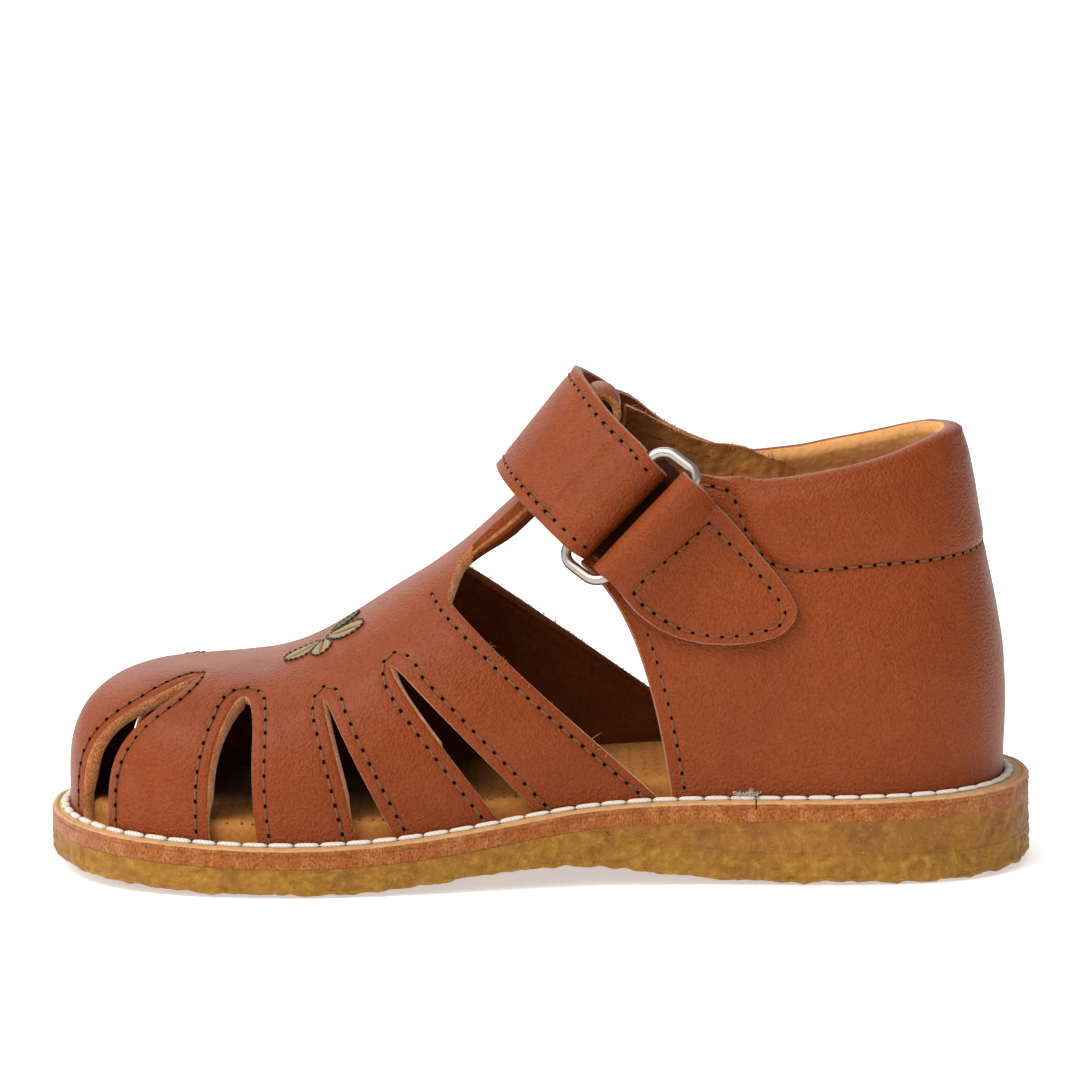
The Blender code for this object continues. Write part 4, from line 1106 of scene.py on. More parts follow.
def sweptBand(centres, across, rise, left, right, half, columns, edgeRows, lift):
    # flat section swept along a line: two faces of columns, two edges bowed as half sines, both ends capped
    face = np.linspace(0.0, 1.0, columns)
    turn = np.linspace(0.0, 1.0, edgeRows + 2)[1:-1]
    a = np.concatenate([face, np.ones(edgeRows), face[::-1], np.zeros(edgeRows)])
    r = np.concatenate([-np.ones(columns), -1 + 2 * turn, np.ones(columns), 1 - 2 * turn])
    flat, arc = np.zeros(columns), 0.22 * np.sin(np.pi * turn)
    bow = np.concatenate([flat, arc, flat, -arc])
    place = mixed(left[:, None], right[:, None], a) + bow
    rows = centres[:, None, :] + across[:, None, :] * place[..., None]
    rows = rows + rise[:, None, :] * (half * r + lift(place, r))[..., None]
    quads = gridQuads(len(centres), len(a), 0, True)
    kinds = np.tile(np.repeat([0, 2, 1, 2], [columns, edgeRows, columns, edgeRows]), len(centres) - 1)
    count = len(a)
    top = np.arange(columns)
    bottom = (2 * columns + edgeRows - 1) - top
    side = np.arange(columns - 1, columns + edgeRows + 1)
    other = np.concatenate([[2 * columns + edgeRows - 1], np.arange(2 * columns + edgeRows, count), [0]])
    k = np.arange(len(side) // 2 - 1)
    caps = []
    for start, flip in ((0, False), ((len(centres) - 1) * count, True)):
        cap = [np.column_stack([top[:-1], bottom[:-1], bottom[1:], top[1:]])]
        cap += [np.column_stack([line[k], line[-1 - k], line[-2 - k], line[k + 1]]) for line in (side, other)]
        cap = np.vstack(cap) + start
        caps.append(cap[:, ::-1] if flip else cap)
    faces = np.vstack([quads] + caps)
    kinds = np.concatenate([kinds, np.full(len(faces) - len(quads), 2)])
    return rows.reshape(-1, 3), faces, kinds


def alongQuarter(points, centres, rise):
    # the sewn end bends with the inner quarter: its middle comes to sewnOff from the last, across the shoe
    section = np.arange(len(points)) // (len(points) // len(centres))
    below, normal, climb = faceAt(inner, points[:, 0], points[:, 2])
    facing = np.maximum(normal[:, 1], 0.5)
    thick = np.sum((points - centres[section]) * rise[section], axis=1) * np.sign(rise[0, 1])
    own = below[:, 1] + (strapSize["sewnOff"] + thick) / facing
    weight = smooth(strapSize["sewnRun"], strapSize["sewnFull"], alongRun(centres))[section]
    bent = points.copy()
    bent[:, 1] += weight * smooth(1.0, 0.9, climb) * (own - points[:, 1])
    return bent


def makeStrap():
    # band with a rounded tip along the strap's line, its seams, and the patch between its lengths
    s = strapSize
    centres, widths, flare, upperStart, patch, ring = strapLines()
    across, rise = sweptFrame(centres, widths)
    half = s["width"] / 2
    run = alongRun(centres)
    fromRing = run - run[upperStart]
    face = np.sign(rise[-1, 2])  # side of the section that shows on the upper length
    tip = np.sqrt(1 - 0.94 * np.clip(1 - (run[-1] - run) / s["tipLength"], 0.0, 1.0) ** 2)
    wider = s["ringWide"] * smooth(*s["ringEase"], fromRing)
    wider = wider + (s["crestWide"] - s["ringWide"]) * smooth(*s["crestEase"], fromRing)
    right = (half + flare + wider) * tip

    def lift(place, r):
        # soft creases lie across the upper length just above the ring, two shallow troughs hold its seams
        sink = np.zeros_like(place)
        for at, wide, deep in strapCreases:
            sink += deep * np.exp(-(((fromRing[:, None] - at + 0.06 * place) / wide) ** 2))
        beside = np.minimum(np.abs(place + half - s["seamIn"]), np.abs(place - right[:, None] + s["seamIn"]))
        seam = np.exp(-((beside / 0.6) ** 2)) * (fromRing[:, None] > -4)
        return -face * (s["crease"] * sink + 0.2 * seam) * (r * face > 0)

    band = (centres, across, rise, -half * tip, right, s["thick"] / 2, s["columns"], s["edgeRows"])
    points, faces, kinds = sweptBand(*band, lift)
    points = alongQuarter(points, centres, rise)
    lower = kinds[: s["fleshRows"] * 2 * (s["columns"] + s["edgeRows"])]
    lower[lower == int(face > 0)] = 3  # flesh side of the lower length
    piece = addPiece("ankleStrap", points, faces, [cognac, cognac, cutEdge, flesh], kinds, sharp=50)
    fit(piece, "cognac_leather", "ankle_strap")
    frayed = np.arange(*s["fibreRows"])
    fibreEdges.append((points.reshape(len(centres), -1, 3)[frayed, s["columns"] + 1], across[frayed], 230))
    row = np.flatnonzero((np.arange(len(centres)) > upperStart - 9) & (run < run[-1] - s["tipLength"]))
    for beside in (s["seamIn"] - half, right[row] - s["seamIn"]):
        path = centres[row] + across[row] * np.reshape(beside, (-1, 1)) + rise[row] * face * s["thick"] / 2
        addRow(path, face * rise[row])
    centre, wide = patch
    edge = np.full(len(centre), s["patchWidth"] / 2)
    beyond = edge + s["patchOut"] * np.exp(-((centre[:, 1] / 7) ** 2))
    band = (centre, *sweptFrame(centre, wide), -edge, beyond, s["patchThick"] / 2)
    points, faces, _ = sweptBand(*band, s["patchColumns"], s["patchEdgeRows"], lambda place, r: 0.0)
    piece = addPiece("hookAndLoopPatch", points, faces, [hookAndLoop])
    fit(piece, "hook_and_loop", "closure_patch")
    return ring


def turnedRing(bar, across, run, rise):
    # the ring and the fold that holds it stand off a little at their upper end
    turn = strapSize["ringTurn"]
    bar = bar + rise * turn * strapSize["ringLength"] / 2
    turnedAcross = across * math.cos(turn) + rise * math.sin(turn)
    return bar, turnedAcross, run, rise * math.cos(turn) - across * math.sin(turn)


def makeRing(bar, across, run, rise):
    # rounded oblong path, a round wire swept along it
    s = strapSize
    corner = s["ringCorner"]
    longHalf, shortHalf = s["ringLength"] / 2 - corner, s["ringWidth"] / 2 - corner
    angle = np.concatenate([np.linspace(0.0, np.pi / 2, 16) + quarter * np.pi / 2 for quarter in range(4)])
    signs = np.repeat(np.array([(1, 1), (-1, 1), (-1, -1), (1, -1)]), 16, axis=0)
    path = across * (signs[:, :1] * longHalf + corner * np.cos(angle)[:, None])
    path = path + run * (signs[:, 1:] * shortHalf + corner * np.sin(angle)[:, None])
    path = path + bar + run * s["ringWidth"] / 2 + across * s["ringUp"]
    ahead = unit(np.roll(path, -1, axis=0) - np.roll(path, 1, axis=0))
    flat = np.cross(ahead, rise)
    turn = np.linspace(0.0, 2 * np.pi, 29)[:-1, None, None]
    rows = path + s["wireDrawn"] * (rise * np.cos(turn) + flat * np.sin(turn))
    rows = np.concatenate([rows, rows[:1]])
    count = len(path)
    quads = gridQuads(len(turn) + 1, count, 0, True)
    points, quads = weld(rows.reshape(-1, 3), quads)
    fit(addPiece("satinRing", points, quads[:, ::-1], [satinSteel]), "satin_steel", "strap_ring")


# tab that holds the ring: share along it, lower and upper edge seen from the side
tabSize = {
    "width": 19.0, "foldUp": 2.0, "thick": 1.6, "return": 0.2, "settle": 0.5, "columns": 48, "rows": 150,
}
tabTable = {
    "share": (0, 0.2, 0.4, 0.6, 0.8, 0.93, 1),
    "lowX": (10.4, 15.6, 21.4, 27.8, 34.6, 39, 40.9),
    "lowZ": (49.8, 43.2, 39.8, 38.5, 38.8, 40.2, 42.4),
    "highX": (25, 28.2, 31.6, 35, 38.4, 40.3, 41.1),
    "highZ": (63.6, 60.6, 57, 52.8, 48.6, 45.7, 44),
}
tabSeam = (
    (27.1, 57.9), (21, 52.7), (15.6, 48.1), (15.0, 46.9), (15.6, 45.9), (17.95, 43.9), (22.4, 41.1),
    (26.1, 40.1), (29, 39.8), (33, 40.2), (36.7, 41), (38.6, 42), (39.2, 43.2), (38.95, 44.2),
    (37.5, 46.5), (35.1, 49.6), (30.9, 54), (27.1, 57.9),
)
tabColumns = [tabTable[name] for name in ("lowX", "lowZ", "highX", "highZ")]
tabEdges = splineOf(tabTable["share"], np.column_stack(tabColumns))


def betweenEdges(edges, across, offset):
    # points of the outer quarter from the lower to the upper edge seen from the side, lifted along the normal
    x, z = (edges[..., k] + (edges[..., k + 2] - edges[..., k]) * across for k in (0, 1))
    point, normal, _ = faceAt(outer, x, z)
    return point + normal * offset


def makeTab(bar, across, run, rise):
    # hidden return, fold round the wire and outer face as one run of rows, eased by a bell of nine rows
    s = tabSize
    radius = strapSize["wire"] + gap + s["thick"] / 2
    seat = gap + s["thick"] / 2
    columns = np.linspace(0.0, 1.0, s["columns"])
    beside = s["width"] * (columns - 0.5) + s["foldUp"] * columns
    line = bar + run * strapSize["ringWidth"] + across * beside[:, None]
    rows = [betweenEdges(tabEdges(s["return"] * k), columns, seat) for k in (1.0, 0.6)]
    turns = np.linspace(0.0, np.pi + 0.75, 12)
    rows += [line + radius * (-run * math.sin(t) - rise * math.cos(t)) for t in turns]
    for share in (0.2, 0.3, 0.42, 0.55, 0.68, 0.8, 0.9, 0.96, 1.0):
        lift = (1 - smooth(0.0, s["settle"], share)) * (s["thick"] + 1.4)
        rows.append(betweenEdges(tabEdges(share), columns, seat + lift))
    rows = np.stack(rows)
    at = alongRun(rows[:, len(columns) // 2])
    fine = readAt(np.linspace(0.0, at[-1], s["rows"]), at, rows.reshape(len(rows), -1))
    ease = np.exp(-(np.linspace(-2.0, 2.0, 9) ** 2))
    padded = np.pad(fine, ((4, 4), (0, 0)), mode="reflect", reflect_type="odd")
    fine = sum(w * padded[k : k + s["rows"]] for k, w in enumerate(ease / ease.sum()))
    fine = fine.reshape(s["rows"], -1, 3)
    normal = unit(np.cross(np.gradient(fine, axis=0), np.gradient(fine, axis=1)))
    outside = fine + normal * s["thick"] / 2
    points, quads = gather([outside])
    quads = quads[:, ::-1]
    normals = vertexNormals(points, quads)
    visible = np.repeat(np.arange(s["rows"]) > s["rows"] * 0.28, s["columns"])
    seam = flatRow(points[visible], normals[visible], outer, smoothPath(tabSeam, 200))
    points = grooves(points, normals, [seam], seamSize["groove"], seamSize["grooveWidth"])
    points = points + normals * ((lumps(points, 7.0, 8) - 0.5) * 0.3)[:, None]
    made, faces, kinds, _ = thicken(points, quads, s["thick"], 0.15)
    piece = addPiece("ringTab", made, faces, [cognac, flesh, cutEdge], kinds, sharp=50)
    fit(piece, "cognac_leather", "ring_tab")


def makeRingBacking():
    # leather tail under the ring, on the outer quarter from beneath the strap's fold to the tab, near-black
    # as painted shade in the gap between the folds
    share, across = np.meshgrid(np.linspace(-0.34, 0.12, 26), np.linspace(0.04, 0.98, 30), indexing="ij")
    start, stop = tabEdges(0.0), tabEdges(tabSize["return"])
    grid = betweenEdges(start + (stop - start) * (share / tabSize["return"])[..., None], across, 0.2)
    points, quads = gather([grid])
    made, faces, _, _ = thicken(points, quads[:, ::-1], 1.4, 0.1)
    fit(addPiece("ringBacking", made, faces, [fleshPaintedShade], sharp=50), "cognac_leather")


hookAndLoop = fibreMaterial("greyHookAndLoop", "#b3a086", "#8c7a60", "#d4c6b0", 0.4, 1.0)
satinSteel = newMaterial("satinSteel", Base_Color=linear("#aaa39a"), Metallic=1.0, Roughness=0.34)[0]
fibreEdges = []
ringFrame = turnedRing(*makeStrap())
makeRing(*ringFrame)
makeTab(*ringFrame)
makeRingBacking()


def napLiningWithPaintedShade():
    # brushed lining with painted shade, darker toward the T-bar
    material = leatherMaterial("brushedLiningLeather", "#b47a40", "#8c5826", "#cc985c", 1.3, 3.0, 1.0, 0.95)
    tree = material.node_tree
    axes = addNode(tree, "ShaderNodeSeparateXYZ", {0: placeIn(tree)})
    # painted shade: dark brown mixed in as x falls from 36 to 16 mm, toward the T-bar
    overlay(material, ramp(tree, (axes, 0), 36 * mm, 16 * mm, 0.8), "#4a230c")
    return material


liningWithPaintedShade = napLiningWithPaintedShade()
# lining inside the far quarter, up to the strap's rear edge: upper and lower edge seen from the side
farLining = {
    "x": (13, 16.7, 20, 23.3, 26.7, 30, 33.3, 37.3, 42),
    "z": (73.8, 72.2, 70.2, 68.5, 67.2, 66.7, 66.1, 64.2, 63.0),
    "low": (69.0, 66.0, 62.0, 56.0, 51.0, 49.0, 48.0, 48.0, 48.0), "thick": 0.8, "rowDrop": 2.2,
}


def makeFarLining():
    # sheet a few millimetres inside the inner face of the last, wrinkled where the collar's padding starts
    x = np.linspace(farLining["x"][0], farLining["x"][-1], 70)
    top = np.interp(x, farLining["x"], farLining["z"])
    low = np.interp(x, farLining["x"], farLining["low"])
    z = low + (top - low) * np.linspace(0.0, 1.0, 40)[:, None]
    point, normal, _ = faceAt(inner, np.broadcast_to(x, z.shape), z)
    deep = 2.6 + 2.3 * smooth(18, 23, x) - 1.2 * smooth(38, 42, x)
    grid = point - normal * deep[:, None]
    grid[..., 2] = z
    points, quads = gather([grid])
    normals = vertexNormals(points, quads)
    fold = (lumps(points * [1.0, 0.6, 0.35], 1.9, 51) - 0.5) * smooth(24, 32, points[:, 0])
    points = points + normals * (0.5 * fold + 0.3 * (lumps(points, 3.0, 52) - 0.5))[:, None]
    line = np.column_stack([x, np.zeros_like(x), top - farLining["rowDrop"]])[4:44]
    best = np.argmin(((points[:, None, (0, 2)] - line[None, :, (0, 2)]) ** 2).sum(axis=-1), axis=0)
    holes = evenly(points[best], seamSize["pitch"])
    seamRows.append((holes, np.tile(normals[best].mean(axis=0), (len(holes), 1))))
    made, faces, kinds, _ = thicken(points, quads, farLining["thick"], 0.1)
    fibreEdges.append((grid[-1], np.array([0.2, 0.3, 0.9]), 240))
    fit(addPiece("farLining", made, faces, [liningWithPaintedShade, liningWithPaintedShade, rawEdge], kinds, sharp=50))


makeFarLining()


def makeFibres(name, edges, material, seed, longer, shortest=0.3, radius=0.06):
    # loose fibres on raw edges, thin curved cones: base + way * length * t + bend * length * t^2
    rng = np.random.default_rng(seed)
    base, way = [], []
    for line, away, count in edges:
        at = rng.uniform(0.0, len(line) - 1.001, count)
        low = at.astype(int)
        share = (at - low)[:, None]
        base.append(mixed(line[low], line[low + 1], share))
        way.append(np.broadcast_to(away, line.shape)[low])
    base, way = np.vstack(base), np.vstack(way)
    count = len(base)
    base = base + rng.normal(0.0, 0.25, (count, 3)) - way * 0.25
    way = unit(way + rng.normal(0.0, 0.55, (count, 3)))
    bend = rng.normal(0.0, 0.5, (count, 3))
    length = shortest + rng.gamma(1.4, longer, (count, 1, 1))
    t = np.array([0.0, 0.02, 0.35, 0.7, 1.0])[None, :, None]
    middle = base[:, None] + (way[:, None] * t + bend[:, None] * t**2) * length
    first = unit(np.cross(way, rng.normal(0.0, 1.0, (count, 3))))
    second = np.cross(way, first)
    turn = np.linspace(0.0, 2 * np.pi, 4)[:-1, None]
    thick = radius * np.array([0.0, 1.0, 0.9, 0.6, 0.0])[None, :, None, None]
    ring = first[:, None, None] * np.cos(turn) + second[:, None, None] * np.sin(turn)
    rows = middle[:, :, None] + thick * ring
    points, faces, _ = manyTubes(rows)
    fit(addPiece(name, points, faces[:, ::-1], [material]))


throatEdge = {side: last(side, *throatLine(side, np.linspace(0.15, 0.98, 60))) for side in (outer, inner)}
throatWay = np.array([0.75, 0.0, 0.65])
makeFibres("edgeFibres", fibreEdges + [(throatEdge[outer], throatWay, 20)], rawEdge, 19, longer=0.26)
makeFibres("throatFibres", [(throatEdge[inner], throatWay, 220)], flesh, 29, longer=0.22)
tuftPlan = inset(outer, shareAtX(outer, np.linspace(31.0, 35.0, 12)), -0.9, 1.0)
tuft = np.column_stack([tuftPlan, weltTop(tuftPlan[:, 0]) + 0.9])
makeFibres("threadEnds", [(tuft, np.array([0.3, -0.6, 0.5]), 130)], waxedThread, 23, longer=0.1, radius=0.1)
print("strap, ring and tab done")


# sole: columns round it, rounded lower edge, lap between layers, the insole's inset, rounding, lift and dome
soleSize = {
    "columns": 460, "edge": 0.7, "edgeRows": 4, "sideRows": 10, "lap": 0.05,
    "wedgeColumns": 260, "wedgeRows": 6, "wedgeInset": 0.06, "midsoleRows": 5,
    "insoleColumns": 160, "insoleInset": 2.15, "insoleRound": 1.6, "insoleLift": 0.9, "insoleDome": 1.4,
}


def underside(x):
    # lowest face of the crepe, flat on the ground where its table is below it
    return np.maximum(soleAt["under"](x), 0.0) - lastSize["soleDrop"]


def crepeTop(x):
    # lowest face of the midsole
    return weltTop(x) - lastSize["weltThick"] - lastSize["midsoleThick"] - 2 * gap


def outsoleTop(x):
    # the crepe's own thickness behind the wedge's front, all the way up to the midsole before it
    blend = np.clip((np.asarray(x) - lastSize["wedgeFront"]) / 0.4, 0.0, 1.0)
    thin = np.minimum(underside(x) + soleAt["crepe"](x), crepeTop(x))
    return mixed(crepeTop(x), thin, blend)


def wedgeFoot(x):
    # a hair below the crepe sheet's own top
    return np.minimum(underside(x) + soleAt["crepe"](x), crepeTop(x)) - 0.15


def soleShares(count, first=0.0):
    # shares from the first to the heel, closer together at both tips by a cosine
    return first + (1 - first) * (0.5 - 0.5 * np.cos(np.linspace(0.0, np.pi, count)))


def ringPlan(shares, amount, shelf):
    # outer side from toe to heel, inner side back, the two tips shared
    near, far = inset(outer, shares, amount, shelf), inset(inner, shares, amount, shelf)
    if shares[0] == 0:
        far[0] = near[0]
    far[-1] = near[-1]
    return near, far


def raised(amount, base, height, share):
    # one row of a slab: inset, height over the base, share of roughness
    return amount, lambda x: base(x) + height, share


def evenRows(low, high, count, amounts, shares):
    # rows of a slab at even heights: inset and roughness of the two end rows, then of those between
    rows = []
    for level in np.linspace(0.0, 1.0, count + 1):
        between = level not in (0, 1)
        height = lambda x, level=level: low(x) + (high(x) - low(x)) * level
        rows.append((amounts[between], height, shares[between]))
    return rows


def makeSlab(shares, profile, rough, capColumns, shelf=0.0):
    # profile rows of (inset, height of x, share of roughness) round the plan, both flats filled across
    rings = []
    for amount, height, share in profile:
        for plan, deeper in zip(ringPlan(shares, amount, shelf), ringPlan(shares, amount + 1.0, shelf)):
            points = np.column_stack([plan, height(plan[:, 0])])
            points[:, :2] += unit(plan - deeper) * (rough(points) * share)[:, None]
            rings.append(points)
    near, far = np.stack(rings[::2]), np.stack(rings[1::2])
    across = np.linspace(0.0, 1.0, capColumns)[:, None, None]
    top, bottom = (mixed(near[end], far[end], across) for end in (-1, 0))
    grids = [near, far[:, ::-1], top, bottom[:, ::-1]]
    if shares[0] > 0:
        grids.append(np.stack([far[:, 0], near[:, 0]], axis=1))
    return weld(*gather(grids))


def crinkle(points):
    # crepe's pulled skin: ridges where two sizes of noise cross their middle, deeper at the coarse size
    coarse = 1 - np.abs(2 * lumps(points * [1, 1, 1.7], 2.6, 11) - 1)
    fine = 1 - np.abs(2 * lumps(points * [1, 1, 1.5], 1.2, 12) - 1)
    return 0.55 * (coarse - 0.75) + 0.35 * (fine - 0.7)


def fuzz(points):
    # cut leather's nap: small lumps of half a millimetre
    return 0.3 * (lumps(points * [1, 1, 0.6], 0.9, 21) - 0.5) + 0.2 * (lumps(points, 2.4, 22) - 0.5)


def makeSole():
    # four slabs: crepe sheet, wedge, midsole and insole
    s = soleSize
    shares = soleShares(s["columns"])
    edge, lap = s["edge"], s["lap"]
    profile = [
        raised(edge * (1 - math.sin(a)), underside, edge * (1 - math.cos(a)), 0.4 + 0.6 * math.sin(a))
        for a in np.linspace(0.0, np.pi / 2, s["edgeRows"])
    ]
    profile += evenRows(lambda x: underside(x) + edge, outsoleTop, s["sideRows"], (0.0, 0.0), (0.3, 1.0))[1:]
    points, quads = makeSlab(shares, profile, crinkle, 26)
    low = smooth(2.2, 0.0, points[:, 2] - underside(points[:, 0]))
    flat = points * [1, 1, 0.2]
    points[:, 2] += low * (0.75 * lumps(flat, 1.9, 13) + 0.35 * lumps(flat, 0.8, 14)) * 0.85
    fit(addPiece("crepeOutsole", points, quads, [crepe], sharp=60), "crepe", "outsole")

    frontX = lastSize["wedgeFront"] - 0.5
    front = min(np.interp(frontX, edgeAt(side, shareSteps)[:, 0], shareSteps) for side in (outer, inner))
    insets = (s["wedgeInset"], s["wedgeInset"])
    profile = evenRows(wedgeFoot, lambda x: crepeTop(x) + lap, s["wedgeRows"], insets, (0.5, 1.0))
    points, quads = makeSlab(soleShares(s["wedgeColumns"], float(front)), profile, crinkle, 8)
    fit(addPiece("crepeHeelWedge", points, quads, [darkCrepe], sharp=60), "dark_crepe", "heel_wedge")

    profile = evenRows(lambda x: crepeTop(x) + lap, baseAt, s["midsoleRows"], (lap, 0.0), (0.4, 1.0))
    points, quads = makeSlab(shares, profile, fuzz, 8)
    fit(addPiece("leatherMidsole", points, quads, [soleEdge], sharp=60), "tan_leather", "midsole")

    floor = vampSize["wall"] + gap + s["insoleLift"]
    profile = [raised(s["insoleInset"], baseAt, vampSize["marginWall"] + 0.1, 0.0)]
    for a in np.linspace(0.0, np.pi / 2, 6):
        amount = s["insoleInset"] + s["insoleRound"] * (1 - math.cos(a))
        profile.append(raised(amount, baseAt, floor + s["insoleDome"] * math.sin(a), 0.0))
    points, quads = makeSlab(soleShares(s["insoleColumns"]), profile, fuzz, 24, 1.0)
    across = faceNormals(points, quads)
    upright = (np.abs(across[:, 2]) < 0.7 * np.linalg.norm(across, axis=1)).astype(int)
    piece = addPiece("piercedInsole", points, quads, [insoleLeather, insoleSide], upright, sharp=70)
    fit(piece, "insole_leather", "insole")


def insoleMaterial(name, pierced):
    # tan leather with painted shade toward the toe and the far side, where the vamp shades the inside; its
    # top pierced by a square pattern of pinholes
    material = leatherMaterial(name, "#a86f38", "#865424", "#bc8850", 0.9, 10.0, 0.2, 0.9)
    tree = material.node_tree
    where = placeIn(tree)
    if pierced:
        cells = {"Vector": where, "Scale": perMetre(2.1), "Randomness": 0.3}
        spot = addNode(tree, "ShaderNodeTexVoronoi", cells, voronoi_dimensions="2D")
        overlay(material, ramp(tree, (spot, 0), 0.16, 0.1, 0.75), "#2c1509")
    # painted shade: darker toward the toe and toward the far side, standing in for the shade under the vamp
    axes = addNode(tree, "ShaderNodeSeparateXYZ", {0: where})
    ahead = ramp(tree, (axes, 0), -2 * mm, -14 * mm)
    beyond = ramp(tree, (axes, 1), -16 * mm, 0.0, 0.9)
    paintedInteriorShade = addNode(tree, "ShaderNodeMath", {0: ahead, 1: beyond}, operation="MULTIPLY"), 0
    overlay(material, paintedInteriorShade, "#2e1608")
    tree.nodes["Principled BSDF"].inputs["Specular IOR Level"].default_value = 0.03
    return material


insoleLeather = insoleMaterial("piercedTanLeather", True)
insoleSide = insoleMaterial("plainTanLeather", False)
makeSole()

# welt: section as inset, share of the shelf, drop below its top
weltSection = (
    (0.1, 0, 1.2), (-0.05, 0, 0.95), (-0.1, 0, 0.65), (0.0, 0, 0.35), (0.15, 0, 0.12), (0.4, 0, 0.0),
    (0.7, 0, 0.0), (0.85, 0, 0.06), (1.0, 0, 0.24), (1.15, 0, 0.06), (1.3, 0, 0.0), (0.9, 0.25, 0.0),
    (0.5, 0.55, 0.02), (0.1, 0.8, 0.05), (-0.3, 1.0, 0.1), (-0.3, 1.0, 1.2),
)
weltSize = {"jointX": 34.5, "halfCrack": 0.0006, "clear": 0.003, "roughRows": 5}


def makeWelt():
    # the section carried round from the butt joint: outer side to the toe, inner side back, outer side again
    joint, half, clear = shareAtX(outer, weltSize["jointX"]), weltSize["halfCrack"], weltSize["clear"]
    shares = soleShares(soleSize["columns"])
    ahead = np.concatenate([[joint - half], shares[shares < joint - clear][::-1]])
    behind = np.concatenate([shares[shares > joint + clear][::-1][1:], [joint + half]])
    runs = ((outer, ahead), (inner, shares[1:]), (outer, behind))
    rows = []
    for index, (amount, shelf, drop) in enumerate(weltSection):
        plan = np.vstack([inset(side, run, amount, shelf) for side, run in runs])
        points = np.column_stack([plan, weltTop(plan[:, 0]) - drop])
        deeper = np.vstack([inset(side, run, amount + 1, shelf) for side, run in runs])
        share = 1.0 if index < weltSize["roughRows"] else 0.0
        points[:, :2] += unit(plan - deeper) * (fuzz(points) * share)[:, None]
        points[:, 2] += (lumps(points, 2.0, 31) - 0.5) * 0.12 * (drop < 1.0)
        rows.append(points)
    rows = np.stack(rows + rows[:1])
    count = rows.shape[1]
    quads = gridQuads(*rows.shape[:2])[:, ::-1]
    kinds = np.repeat([0] * 3 + [1] * 12 + [0], count - 1)
    ends = []
    for end in (0, count - 1):
        index = np.arange(len(weltSection)) * count + end
        strip = np.column_stack([index[:7], index[1:8], index[14:7:-1], index[15:8:-1]])
        ends.append(strip if end else strip[:, ::-1])
    faces = np.vstack([quads] + ends)
    kinds = np.concatenate([kinds, np.zeros(len(faces) - len(quads), int)])
    points, faces = weld(rows.reshape(-1, 3), faces)
    piece = addPiece("leatherWelt", points, faces, [soleEdge, shelfLeather], kinds, sharp=60)
    fit(piece, "pale_leather", "welt")


makeWelt()

# welt stitches: plump white pillows on the shelf
pillowSize = {
    "pitch": 4.15, "length": 4.3, "width": 1.45, "height": 0.95, "out": 0.85, "rise": 0.2,
    "along": 13, "around": 10,
}


def makePillows():
    # each is a superellipse along its run, its plies winding round it as a small ridge
    s = pillowSize
    share = np.linspace(0.0, 1.0, 1500)
    plan = np.vstack([inset(outer, share, -s["out"], 1.0), inset(inner, share[::-1], -s["out"], 1.0)])
    path = np.column_stack([plan, weltTop(plan[:, 0]) + s["rise"]])
    run = alongRun(path)
    count = int(run[-1] / s["pitch"])
    marks = (np.arange(count) + 0.5) * run[-1] / count
    rng = np.random.default_rng(7)
    t = np.linspace(-1.0, 1.0, s["along"])
    where = marks[:, None] + t * s["length"] / 2
    centre = np.stack([np.interp(where, run, path[:, k], period=run[-1]) for k in range(3)], axis=-1)
    ahead = unit(np.gradient(centre, axis=1))
    up = np.array([0.0, 0.0, 1.0])
    beside = unit(np.cross(ahead, up))
    swell = np.maximum(1 - np.abs(t) ** 3.2, 0.0) ** 0.5
    turn = np.linspace(0.0, 2 * np.pi, s["around"] + 1)[:-1]
    ply = 1 + 0.025 * np.cos(2 * turn + 5 * t[:, None])
    size = rng.uniform(0.92, 1.06, (count, 1, 1))
    slant = rng.uniform(0.08, 0.2, (count, 1, 1)) * t[None, :, None]
    wide = s["width"] / 2 * swell[:, None] * np.cos(turn) * ply
    tall = s["height"] / 2 * swell[:, None] * np.sin(turn) * ply
    aside = beside[:, :, None, :] * (wide * size + slant)[..., None]
    rows = centre[:, :, None, :] + aside + up * (tall * size)[..., None]
    points, welded, faces = manyTubes(rows)
    uv = np.stack(np.broadcast_arrays(t[:, None] * 2, turn / 2), axis=-1)
    uv = np.broadcast_to(uv, (count, *uv.shape)).reshape(-1, 2)
    keys = np.empty((len(points), 2))
    keys[welded.ravel()] = uv[faces.ravel()]
    fit(addPiece("weltStitches", points, welded, [waxedThread], uv=keys))


makePillows()


def stitchTubes(a, b, upA, upB, sink, rise, radius):
    # threads from a to b, arched above the leather as sin^0.5, thinned to points at both ends
    t = np.linspace(0.0, 1.0, 7)[None, :, None]
    normal = unit(mixed(upA[:, None], upB[:, None], t))
    middle = mixed(a[:, None], b[:, None], t) + normal * (sink + rise * np.sin(np.pi * t) ** 0.5)
    beside = np.cross(unit((b - a)[:, None]), normal)
    turn = np.linspace(0.0, 2 * np.pi, 7)[:-1]
    fat = radius * np.maximum(np.sin(np.pi * t), 0.0) ** 0.35
    ring = beside[:, :, None] * np.cos(turn)[:, None] + normal[:, :, None] * np.sin(turn)[:, None]
    rows = middle[:, :, None] + fat[..., None] * ring
    points, faces, _ = manyTubes(rows)
    return points, faces[:, ::-1]


